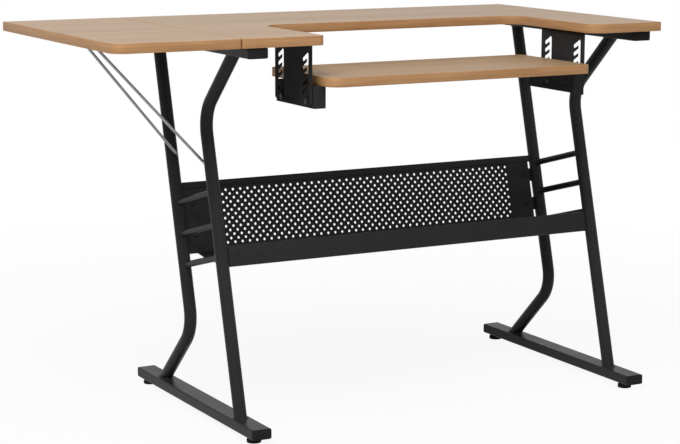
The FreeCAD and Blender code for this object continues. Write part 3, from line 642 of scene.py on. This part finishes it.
def turned_to(axis):
    """The turn from upright to an axis."""
    return Vector((0, 0, 1)).rotation_difference(axis).to_matrix().to_4x4()


def across_posts(sizes):
    """Direction to the back, square to the leaning posts."""
    return Vector((0, math.cos(sizes.post_lean), -math.sin(sizes.post_lean)))


def face_up(piece):
    """Close the sheet in hand with its faces looking up."""
    pick_all()
    bpy.ops.mesh.normals_make_consistent(inside=False)
    end_edit()
    if max(piece.data.polygons, key=lambda face: face.area).normal.z < 0:
        start_edit()
        bpy.ops.mesh.flip_normals()
        end_edit()


def round_corners(corners):
    """Round a flat outline's corners, given in order as x, y and radius."""
    for index, (x, y, radius) in enumerate(corners):
        corner = Vector((x, y))
        before = Vector(corners[index - 1][:2]) - corner
        after = Vector(corners[(index + 1) % len(corners)][:2]) - corner
        half = before.angle(after) / 2
        sine = math.sin(half)
        pick("VERT", lambda vertex: (vertex.co.xy - corner).length < NEAR)
        # This profile makes the curve a true arc, whatever the corner's angle
        profile = ((1 + 2 * sine) / (2 * (1 + sine))) ** 2
        bpy.ops.mesh.bevel(offset=radius / math.tan(half), profile=profile, affect="VERTICES",
                           segments=max(3, round(radius * CORNER_STEPS)))


def spot(vertex):
    """A vertex's place, rounded so that two meshes can be compared."""
    return tuple(round(value, 6) for value in vertex.co)


def finish_board(outline, node, body, sizes):
    """Split a flat outline into a board and its edge band, and give both their thickness."""
    low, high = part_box(node + "_edge_band")
    bpy.ops.mesh.select_mode(type="FACE")
    pick_all()
    bpy.ops.mesh.inset(thickness=sizes.band, use_even_offset=True)
    bpy.ops.mesh.separate(type="SELECTED")
    core = next(item for item in bpy.context.selected_objects if item != outline)
    rename(core, node + "_board")
    end_edit()
    inner = {spot(vertex) for vertex in core.data.vertices}
    rim = outline.vertex_groups.new(name="rim")
    outer = [vertex.index for vertex in outline.data.vertices if spot(vertex) not in inner]
    rim.add(outer, 1.0, "REPLACE")
    for piece in (core, outline):
        modify(piece, "SOLIDIFY", thickness=high.z - low.z, offset=-1)
        clean(piece)
    hold(outline)
    start_edit()
    layer = bmesh.from_edit_mesh(outline.data).verts.layers.deform.verify()
    index = outline.vertex_groups["rim"].index
    pick("EDGE", lambda edge: edge.calc_face_angle(0) > BOARD_EDGE_ANGLE
         and all(vertex[layer].get(index, 0) > 0.5 for vertex in edge.verts))
    round_edges(sizes.edge_round, 2)
    end_edit()
    fit(core, body, "laminate_board", node)
    fit(outline, body, "edge_band", node + "_edge_band")


def start_board(node):
    """Flat outline at a board's upper side, with the corners of its box."""
    low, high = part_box(node + "_edge_band")
    return start_sheet(node + "_band", (low.x, low.y, high.z), (high.x, high.y, high.z)), low, high


def rounded_board(node, body, sizes, radii):
    """Board with four round corners, from the front left one on to the right."""
    piece, low, high = start_board(node)
    places = ((low.x, low.y), (high.x, low.y), (high.x, high.y), (low.x, high.y))
    round_corners([(*place, radius) for place, radius in zip(places, radii)])
    finish_board(piece, node, body, sizes)


def softened(node, width, slot):
    """Copy of a node of the frame whose edges are rounded as sheet metal is."""
    piece = bpy.data.objects.new(node + "_finished", frame["nodes"][node].data.copy())
    bpy.context.scene.collection.objects.link(piece)
    hold(piece)
    start_edit()
    pick_all()
    bpy.ops.mesh.remove_doubles(threshold=MERGE)
    bpy.ops.mesh.dissolve_limited(angle_limit=FLAT_ANGLE)
    end_edit()
    modify(piece, "BEVEL", width=width, segments=2, use_clamp_overlap=True,
           limit_method="ANGLE", angle_limit=METAL_EDGE_ANGLE)
    return fit(piece, NODE_BODIES[node], slot, node)


class SEWING_OT_finishes(bpy.types.Operator):
    """Make the finishes and give them to the nodes of the frame"""

    bl_idname = "sewing_table.finishes"
    bl_label = "Finishes"

    def execute(self, context):
        colours = context.scene.sewing_colours
        for make in (laminate_finish, band_finish, steel_finish,
                     plastic_finish, wire_finish, zinc_finish):
            make(colours)
        for node, piece in frame["nodes"].items():
            for slot in piece.material_slots:
                slot.material = FINISHES[NODE_SLOTS[node]]
        return {"FINISHED"}


class SEWING_OT_main_top(bpy.types.Operator):
    """Top board with the notch for the machine"""

    bl_idname = "sewing_table.main_top"
    bl_label = "Top board"

    def execute(self, context):
        sizes = context.scene.sewing_sizes
        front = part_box("drop_leaf_edge_band")[0].y
        piece, low, high = start_board("main_top")
        for point, normal in (
                ((sizes.notch_left, 0, 0), (1, 0, 0)),
                ((sizes.notch_right_rear, 0, 0), (1, 0, 0)),
                ((0, sizes.notch_back, 0), (0, 1, 0))):
            pick_all()
            bpy.ops.mesh.bisect(plane_co=point, plane_no=normal)
        pick("FACE", lambda face: sizes.notch_left < middle(face).x < sizes.notch_right_rear
             and middle(face).y < sizes.notch_back)
        bpy.ops.mesh.delete(type="FACE")
        pick("VERT", lambda vertex: vertex.co.x < sizes.notch_left + NEAR
             and vertex.co.y < low.y + NEAR)
        shift((0, front - low.y, 0))
        pick("VERT", lambda vertex: abs(vertex.co.x - sizes.notch_right_rear) < NEAR
             and vertex.co.y < low.y + NEAR)
        shift((sizes.notch_right_front - sizes.notch_right_rear, 0, 0))
        pick_all()
        bpy.ops.mesh.dissolve_limited(angle_limit=FLAT_ANGLE)
        round_corners([
            (low.x, front, sizes.seam_radius),
            (sizes.notch_left, front, sizes.left_arm_radius),
            (sizes.notch_left, sizes.notch_back, sizes.notch_radius),
            (sizes.notch_right_rear, sizes.notch_back, sizes.notch_radius),
            (sizes.notch_right_front, low.y, sizes.right_arm_radius),
            (high.x, low.y, sizes.right_radius),
            (high.x, high.y, sizes.right_radius),
            (low.x, high.y, sizes.seam_radius),
        ])
        finish_board(piece, "main_top", FRAMES, sizes)
        return {"FINISHED"}


class SEWING_OT_leaf(bpy.types.Operator):
    """Drop leaf"""

    bl_idname = "sewing_table.leaf"
    bl_label = "Drop leaf"

    def execute(self, context):
        sizes = context.scene.sewing_sizes
        rounded_board("drop_leaf", LEAF, sizes, (
            sizes.leaf_front_radius, sizes.seam_radius, sizes.seam_radius, sizes.leaf_rear_radius))
        return {"FINISHED"}


class SEWING_OT_platform(bpy.types.Operator):
    """Machine platform"""

    bl_idname = "sewing_table.platform"
    bl_label = "Machine platform"

    def execute(self, context):
        sizes = context.scene.sewing_sizes
        rounded_board("machine_platform", PLATFORM, sizes, (
            sizes.platform_left_radius, sizes.platform_right_radius,
            sizes.platform_rear_radius, sizes.platform_rear_radius))
        return {"FINISHED"}


class SEWING_OT_panel(bpy.types.Operator):
    """Perforated back panel of the shelf, with staggered round holes and a hem"""

    bl_idname = "sewing_table.panel"
    bl_label = "Perforated panel"

    def execute(self, context):
        sizes = context.scene.sewing_sizes
        cosine = math.cos(sizes.post_lean)
        top = sizes.shelf_back / cosine
        bottom = (sizes.shelf_floor - sizes.shelf_fall - sizes.sheet) / cosine
        panel_low, panel_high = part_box("shelf_back_panel")
        left, right = panel_low.x + sizes.panel_left_gap, panel_high.x - sizes.panel_right_gap
        half_pitch = sizes.hole_pitch / 2
        last_row = top - sizes.first_row - (2 * sizes.hole_rows - 1) * half_pitch
        piece = self.tile(sizes, sizes.first_hole, last_row)
        for number, step in (
                (2, (half_pitch, half_pitch, 0)),
                (sizes.hole_columns, (sizes.hole_pitch, 0, 0)),
                (sizes.hole_rows, (0, sizes.hole_pitch, 0))):
            modify(piece, "ARRAY", count=number, use_relative_offset=False, use_constant_offset=True,
                   constant_offset_displace=step, use_merge_vertices=True, merge_threshold=TILE_MERGE)
        border = start_sheet("panel_border", (left, bottom, 0), (right, top, 0))
        bpy.ops.mesh.delete(type="ONLY_FACE")
        piece = joined("shelf_panel", [piece, border])
        start_edit()
        pick_all()
        bpy.ops.mesh.remove_doubles(threshold=TILE_MERGE)
        pick("EDGE", lambda edge: not edge.link_faces or self.is_outer(edge, sizes))
        bpy.ops.mesh.fill(use_beauty=True)
        face_up(piece)
        modify(piece, "SOLIDIFY", thickness=sizes.sheet, offset=0)
        hem = start_block("panel_hem", (panel_low.x, top - sizes.panel_hem, sizes.sheet / 2),
                          (panel_high.x, top, sizes.sheet * 1.5))
        pick("EDGE", lambda edge: abs(edge.verts[0].co.x - edge.verts[1].co.x) > NEAR)
        round_edges(sizes.sheet * HEM_ROUND, 3)
        end_edit()
        piece = joined("shelf_panel", [piece, hem])
        lean = Matrix.Rotation(math.pi / 2 - sizes.post_lean, 4, "X")
        settle(piece, Matrix.Translation((0, sizes.rear_post, 0)) @ lean)
        fit(piece, FRAMES, "black_steel", "shelf_back_panel")
        return {"FINISHED"}

    def tile(self, sizes, x, y):
        """One diamond of the sheet, whose middle cell of nine becomes a round hole."""
        side = sizes.hole_pitch / math.sqrt(2)
        piece = start_sheet("shelf_panel", (-side / 2, -side / 2, 0), (side / 2, side / 2, 0))
        bpy.ops.mesh.subdivide(number_cuts=2)
        pick("FACE", lambda face: middle(face).length < side / 6)
        bpy.ops.mesh.delete(type="ONLY_FACE")
        pick("EDGE", lambda edge: middle(edge).length < side / 5)
        bpy.ops.mesh.subdivide(number_cuts=2)
        pick("VERT", lambda vertex: vertex.co.length < side / 4)
        bpy.ops.transform.tosphere(value=1)
        mesh = bmesh.from_edit_mesh(piece.data)
        reach = max(vertex.co.length for vertex in mesh.verts if vertex.select)
        stretch((sizes.hole_radius / reach,) * 3)
        end_edit()
        return settle(piece, Matrix.Translation((x, y, 0)) @ Matrix.Rotation(math.pi / 4, 4, "Z"))

    def is_outer(self, edge, sizes):
        """Whether an edge lies on the ragged outside of the perforated field, not round a hole."""
        if len(edge.link_faces) != 1:
            return False
        along = edge.verts[0].co - edge.verts[1].co
        slanted = abs(abs(along.x) - abs(along.y)) < NEAR
        return slanted and abs(along.length - sizes.hole_pitch / math.sqrt(2) / 3) < NEAR


class SEWING_OT_tray(bpy.types.Operator):
    """Shelf floor folded up into a lip whose edge is turned in"""

    bl_idname = "sewing_table.tray"
    bl_label = "Shelf tray"

    def execute(self, context):
        sizes = context.scene.sewing_sizes
        low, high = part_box("shelf_tray")
        slope = math.tan(sizes.post_lean)
        inset = sizes.sheet / 2 / math.cos(sizes.post_lean)
        floor = sizes.shelf_floor
        front = sizes.front_post + slope * floor - inset
        back = sizes.rear_post + slope * (floor - sizes.shelf_fall) - inset
        cut = back - sizes.corner_cut_depth
        piece = start_sheet("shelf_tray_finished", (low.x, front, floor), (high.x, back, floor))
        bpy.ops.mesh.bisect(plane_co=(0, cut, 0), plane_no=(0, 1, 0))
        for end, inward in ((low.x, 1), (high.x, -1)):
            pick("VERT", lambda vertex: abs(vertex.co.x - end) < NEAR and vertex.co.y > back - NEAR)
            shift((inward * sizes.corner_cut, 0, 0))
        for y in (cut, back):
            pick("VERT", lambda vertex: abs(vertex.co.y - y) < NEAR)
            shift((0, 0, -sizes.shelf_fall * (y - front) / (back - front)))
        pick("EDGE", lambda edge: middle(edge).y < front + NEAR)
        rise = sizes.shelf_lip - floor
        extrude((0, slope * rise, rise))
        extrude((0, sizes.sheet * HEM_TURN, -sizes.sheet * HEM_DROP))
        extrude((0, -slope * sizes.lip_hem, -sizes.lip_hem))
        pick("EDGE", lambda edge: abs(middle(edge).y - front) < NEAR
             and abs(middle(edge).z - floor) < NEAR)
        round_edges(sizes.shelf_fold, 4)
        face_up(piece)
        modify(piece, "SOLIDIFY", thickness=sizes.sheet, offset=-1, use_even_offset=True)
        fit(piece, FRAMES, "black_steel", "shelf_tray")
        return {"FINISHED"}


class SEWING_OT_caps(bpy.types.Operator):
    """Plastic caps on the ends of the foot tubes and top rails"""

    bl_idname = "sewing_table.caps"
    bl_label = "Tube end caps"

    def execute(self, context):
        sizes = context.scene.sewing_sizes
        for caps, tubes in (("foot_end_caps", ("left_foot_tube", "right_foot_tube")),
                            ("rail_end_caps", ("left_top_rail", "right_top_rail"))):
            outer_low, outer_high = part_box(caps)
            pieces = []
            for tube in tubes:
                low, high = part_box(tube)
                near = self.cap(sizes, (low.x, outer_low.y, low.z), (high.x, low.y, high.z), -1)
                far = self.cap(sizes, (low.x, high.y, low.z), (high.x, outer_high.y, high.z), 1)
                pieces += [near, far]
            fit(joined(caps + "_finished", pieces), FRAMES, "black_plastic", caps)
        return {"FINISHED"}

    def cap(self, sizes, low, high, outward):
        """One cap: rounded like the tube, softened at its rim, with a plug on its back."""
        piece = start_block("cap", low, high)
        outer_y = low[1] if outward < 0 else high[1]
        inner_y = high[1] if outward < 0 else low[1]
        pick("EDGE", lambda edge: abs(edge.verts[0].co.y - edge.verts[1].co.y) > NEAR)
        round_edges(sizes.cap_corner, 4)
        pick("EDGE", lambda edge: lies_at(edge, 1, outer_y))
        round_edges(sizes.cap_edge, 3)
        pick("FACE", lambda face: lies_at(face, 1, inner_y))
        bpy.ops.mesh.inset(thickness=sizes.cap_wall)
        extrude((0, -outward * sizes.cap_plug, 0))
        end_edit()
        return piece


class SEWING_OT_sheet_metal(bpy.types.Operator):
    """Hanger plates, brackets, tabs and hinges with softened edges"""

    bl_idname = "sewing_table.sheet_metal"
    bl_label = "Sheet metal"

    def execute(self, context):
        sizes = context.scene.sewing_sizes
        for node in ("hanger_plate_left", "hanger_plate_right", "platform_bracket_left",
                     "platform_bracket_right", "shelf_tabs", "leaf_hinge_fixed_plates",
                     "leaf_hinge_moving_plates", "bail_catch", "platform_guide_pins"):
            piece = softened(node, sizes.metal_edge, NODE_SLOTS[node])
            if node.startswith(("hanger_plate", "platform_bracket")):
                piece.data.materials[0] = FINISHES["matt_steel"]
        return {"FINISHED"}


def separate_solids(node):
    """Points of each separate solid of a node, in order of the solids' low corners."""
    mesh = bmesh.new()
    mesh.from_mesh(frame["nodes"][node].data)
    bmesh.ops.remove_doubles(mesh, verts=mesh.verts, dist=MERGE)
    waiting = set(mesh.verts)
    solids = []
    while waiting:
        reached = [waiting.pop()]
        for vertex in reached:
            for edge in vertex.link_edges:
                other = edge.other_vert(vertex)
                if other in waiting:
                    waiting.remove(other)
                    reached.append(other)
        solids.append([vertex.co.copy() for vertex in reached])
    mesh.free()
    return sorted(solids, key=lambda solid: tuple(map(min, zip(*solid))))


class SEWING_OT_screws(bpy.types.Operator):
    """Pan-head screws with a cross recess, in place of the frame's plain ones"""

    bl_idname = "sewing_table.screws"
    bl_label = "Screws"

    def execute(self, context):
        sizes = context.scene.sewing_sizes
        up = Vector((0, 0, 1))
        large = (sizes.screw_head, sizes.screw_shank)
        small = (sizes.small_head, sizes.small_shank)
        for node, axis, (head, shank) in (
                ("hanger_plate_screws", up, large),
                ("platform_bracket_screws", up, large),
                ("top_rail_screws", up, large),
                ("shelf_screws", across_posts(sizes), large),
                ("leaf_hinge_fixed_screws", up, small),
                ("leaf_hinge_moving_screws", up, small),
                ("bail_catch_screws", up, small)):
            self.replace(node, axis, head, shank)
        return {"FINISHED"}

    def replace(self, node, axis, head, shank):
        """Put a modelled screw at each place of a node's screws."""
        side = Vector((1, 0, 0))
        across = axis.cross(side)
        pattern = None
        screws = []
        for solid in separate_solids(node):
            spans = [(min(point.dot(way) for point in solid), max(point.dot(way) for point in solid))
                     for way in (side, across, axis)]
            if pattern is None:
                radius = (spans[0][1] - spans[0][0]) / 2
                pattern = self.screw(radius, head, shank, spans[2][1] - spans[2][0] - head)
            seat = (side * sum(spans[0]) + across * sum(spans[1])) / 2 + axis * (spans[2][0] + head)
            twist = Matrix.Rotation(SCREW_TWIST * len(screws), 4, "Z")
            screws.append(copied(pattern, Matrix.Translation(seat) @ turned_to(axis) @ twist))
        bpy.data.objects.remove(pattern)
        fit(joined(node + "_finished", screws), NODE_BODIES[node], NODE_SLOTS[node], node)

    def screw(self, radius, head, shank, length):
        """One screw, pointing up from its seat at the origin."""
        piece = start_cylinder("screw", HEAD_SIDES, radius, head)
        pick("EDGE", lambda edge: all(vertex.co.z < 0 for vertex in edge.verts)
             and abs(edge.verts[0].co.z - edge.verts[1].co.z) < NEAR)
        round_edges(head * HEAD_ROUND, 3)
        end_edit()
        settle(piece, Matrix.Translation((0, 0, -head / 2)))
        for width, reach in RECESS_ARMS:
            slot = start_block("recess", (-radius * width, -radius * reach, -head * RECESS_LOW),
                               (radius * width, radius * reach, -head * RECESS_HIGH))
            end_edit()
            modify(piece, "BOOLEAN", operation="DIFFERENCE", object=slot, solver="EXACT")
            bpy.data.objects.remove(slot)
        stem = start_cylinder("shank", SHANK_SIDES, shank, length)
        pick("FACE", looks_up)
        stretch((SHANK_POINT, SHANK_POINT, 1))
        end_edit()
        settle(stem, Matrix.Translation((0, 0, length / 2)))
        return joined("screw", [piece, stem])


class SEWING_OT_welds(bpy.types.Operator):
    """Weld beads where posts meet tubes and rungs meet posts"""

    bl_idname = "sewing_table.welds"
    bl_label = "Weld beads"

    def execute(self, context):
        sizes = context.scene.sewing_sizes
        slope = math.tan(sizes.post_lean)
        bent = math.tan(sizes.bend_lean)
        half = (sizes.rear_post - sizes.front_post) / 2 * math.cos(sizes.post_lean) - sizes.post_radius
        across = across_posts(sizes)
        for side, frame_x, lowest in (("left", sizes.left_frame, sizes.left_rung),
                                      ("right", sizes.right_frame, sizes.right_rung)):
            beads = []
            front_bend_y = sizes.front_post + slope * sizes.front_bend
            rear_bend_y = sizes.rear_post + slope * sizes.rear_bend
            for y, z, lean in (
                    (sizes.front_post + slope * sizes.foot_top, sizes.foot_top, sizes.post_lean),
                    (rear_bend_y + bent * (sizes.rear_bend - sizes.foot_top),
                     sizes.foot_top, sizes.bend_lean),
                    (front_bend_y - bent * (sizes.rail_bottom - sizes.front_bend),
                     sizes.rail_bottom, sizes.bend_lean),
                    (sizes.rear_post + slope * sizes.rail_bottom, sizes.rail_bottom, sizes.post_lean)):
                bead = self.bead(sizes.post_radius, sizes.weld, 1 / math.cos(lean), len(beads))
                beads.append(settle(bead, Matrix.Translation((frame_x, y, z))))
            for index in range(RUNGS):
                z = lowest + index * sizes.rung_pitch
                middle_y = (sizes.front_post + sizes.rear_post) / 2 + slope * z
                for end in (-1, 1):
                    place = Vector((frame_x, middle_y, z)) + across * end * half
                    bead = self.bead(sizes.rung_radius, sizes.weld * RUNG_WELD, 1, len(beads))
                    beads.append(settle(bead, Matrix.Translation(place) @ turned_to(across)))
            fit(joined(side + "_frame_welds", beads), FRAMES, "black_steel")
        return {"FINISHED"}

    def bead(self, radius, weld, longer, seed):
        """One rippled bead round the origin."""
        deselect()
        bpy.ops.mesh.primitive_torus_add(major_segments=BEAD_STEPS, minor_segments=BEAD_SIDES,
                                         major_radius=radius, minor_radius=weld)
        piece = name_piece("bead")
        stretch((1, longer, 1))
        bpy.ops.transform.vertex_random(offset=weld * WELD_RIPPLE, uniform=0.2, normal=0.8, seed=seed)
        end_edit()
        return piece


class SEWING_OT_levellers(bpy.types.Operator):
    """Levelling feet with rounded pads"""

    bl_idname = "sewing_table.levellers"
    bl_label = "Levelling feet"

    def execute(self, context):
        sizes = context.scene.sewing_sizes
        pattern = None
        for node in ("leveller_left_front", "leveller_left_rear",
                     "leveller_right_front", "leveller_right_rear"):
            low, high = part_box(node)
            if pattern is None:
                pattern = self.foot(sizes, (high.x - low.x) / 2, high.z)
            twin = copied(pattern, Matrix.Translation(((low.x + high.x) / 2, (low.y + high.y) / 2, 0)))
            rename(twin, node + "_finished")
            fit(twin, node, "black_plastic", node)
        bpy.data.objects.remove(pattern)
        return {"FINISHED"}

    def foot(self, sizes, radius, top):
        """One foot on the origin: a pad with a rounded rim, a neck and a stem."""
        piece = start_cylinder("foot", FOOT_SIDES, radius, sizes.pad_height)
        shift((0, 0, sizes.pad_height / 2))
        pick("FACE", looks_up)
        extrude((0, 0, sizes.shoulder_top - sizes.pad_height))
        stretch((sizes.neck_radius / radius, sizes.neck_radius / radius, 1))
        extrude((0, 0, sizes.neck_top - sizes.shoulder_top))
        bpy.ops.mesh.inset(thickness=sizes.neck_radius - sizes.stem_radius)
        extrude((0, 0, top - sizes.neck_top))
        pick("EDGE", lambda edge: edge.calc_face_angle(0) > FOOT_EDGE_ANGLE
             and any(lies_at(edge, 2, level) for level in (0, sizes.pad_height)))
        round_edges(sizes.foot_round, 3)
        end_edit()
        return piece


class SEWING_OT_stage(bpy.types.Operator):
    """Floor, lamps, world and camera"""

    bl_idname = "sewing_table.stage"
    bl_label = "Stage"

    def execute(self, context):
        scene = context.scene
        floor_finish(scene.sewing_colours)
        deselect()
        bpy.ops.mesh.primitive_plane_add(size=FLOOR_SIZE)
        floor = context.object
        floor.name = "studio_floor"
        floor.data.materials.append(FINISHES["studio_floor"])
        for name, place, span, power in LAMPS:
            lamp = bpy.data.lights.new(name, "AREA")
            lamp.shape = "SQUARE"
            lamp.size = span
            lamp.energy = power
            holder = bpy.data.objects.new(name, lamp)
            holder.location = place
            holder.rotation_euler = (LAMP_AIM - Vector(place)).to_track_quat("-Z", "Y").to_euler()
            scene.collection.objects.link(holder)
        sky = Finish("studio_sky", bpy.data.worlds)
        light = sky.node("ShaderNodeBackground", {}, {
            "Color": (1, 1, 1, 1), "Strength": SKY_LIGHT + sky.seen() * (1 - SKY_LIGHT)})
        sky.node("ShaderNodeOutputWorld", {}, {"Surface": light})
        scene.world = FINISHES["studio_sky"]
        camera = bpy.data.objects.new("camera", bpy.data.cameras.new("camera"))
        camera.data.sensor_width = SENSOR_WIDTH
        camera.data.lens = FOCAL_PIXELS * SENSOR_WIDTH / PICTURE_WIDTH
        camera.data.clip_end = VIEW_END
        aim = (Matrix.Rotation(CAMERA_TURN, 3, "Z")
               @ Matrix.Rotation(math.pi / 2 - CAMERA_PITCH, 3, "X")
               @ Matrix.Rotation(CAMERA_ROLL, 3, "Z"))
        camera.rotation_euler = aim.to_euler()
        camera.location = CAMERA_PLACE
        scene.collection.objects.link(camera)
        scene.camera = camera
        scene.view_settings.view_transform = "Standard"
        return {"FINISHED"}


PIECES = (SEWING_OT_finishes, SEWING_OT_main_top, SEWING_OT_leaf, SEWING_OT_platform, SEWING_OT_panel,
          SEWING_OT_tray, SEWING_OT_caps, SEWING_OT_sheet_metal, SEWING_OT_screws, SEWING_OT_welds,
          SEWING_OT_levellers, SEWING_OT_stage)


class SEWING_PT_table(bpy.types.Panel):
    """Steps that build the table, with its sizes and colours"""

    bl_idname = "SEWING_PT_table"
    bl_label = "Sewing machine table"
    bl_space_type = "VIEW_3D"
    bl_region_type = "UI"
    bl_category = "Sewing table"

    def draw(self, context):
        layout = self.layout
        for group in (context.scene.sewing_sizes, context.scene.sewing_colours):
            for name in group.bl_rna.properties.keys():
                if name not in ("rna_type", "name"):
                    layout.prop(group, name)
        for piece in PIECES:
            layout.operator(piece.bl_idname)


CLASSES = (TableSizes, TableColours, *PIECES, SEWING_PT_table)


def register():
    """Make the steps and settings known to Blender."""
    for item in CLASSES:
        bpy.utils.register_class(item)
    bpy.types.Scene.sewing_sizes = bpy.props.PointerProperty(type=TableSizes)
    bpy.types.Scene.sewing_colours = bpy.props.PointerProperty(type=TableColours)


def unregister():
    """Take them away again."""
    del bpy.types.Scene.sewing_colours
    del bpy.types.Scene.sewing_sizes
    for item in reversed(CLASSES):
        bpy.utils.unregister_class(item)


def main():
    """Make the steps known to Blender and build every piece."""
    register()
    bpy.ops.sewing_table.finishes()
    bpy.ops.sewing_table.main_top()
    bpy.ops.sewing_table.leaf()
    bpy.ops.sewing_table.platform()
    bpy.ops.sewing_table.panel()
    bpy.ops.sewing_table.tray()
    bpy.ops.sewing_table.caps()
    bpy.ops.sewing_table.sheet_metal()
    bpy.ops.sewing_table.screws()
    bpy.ops.sewing_table.welds()
    bpy.ops.sewing_table.levellers()
    bpy.ops.sewing_table.stage()


if __name__ == "__main__":
    main()
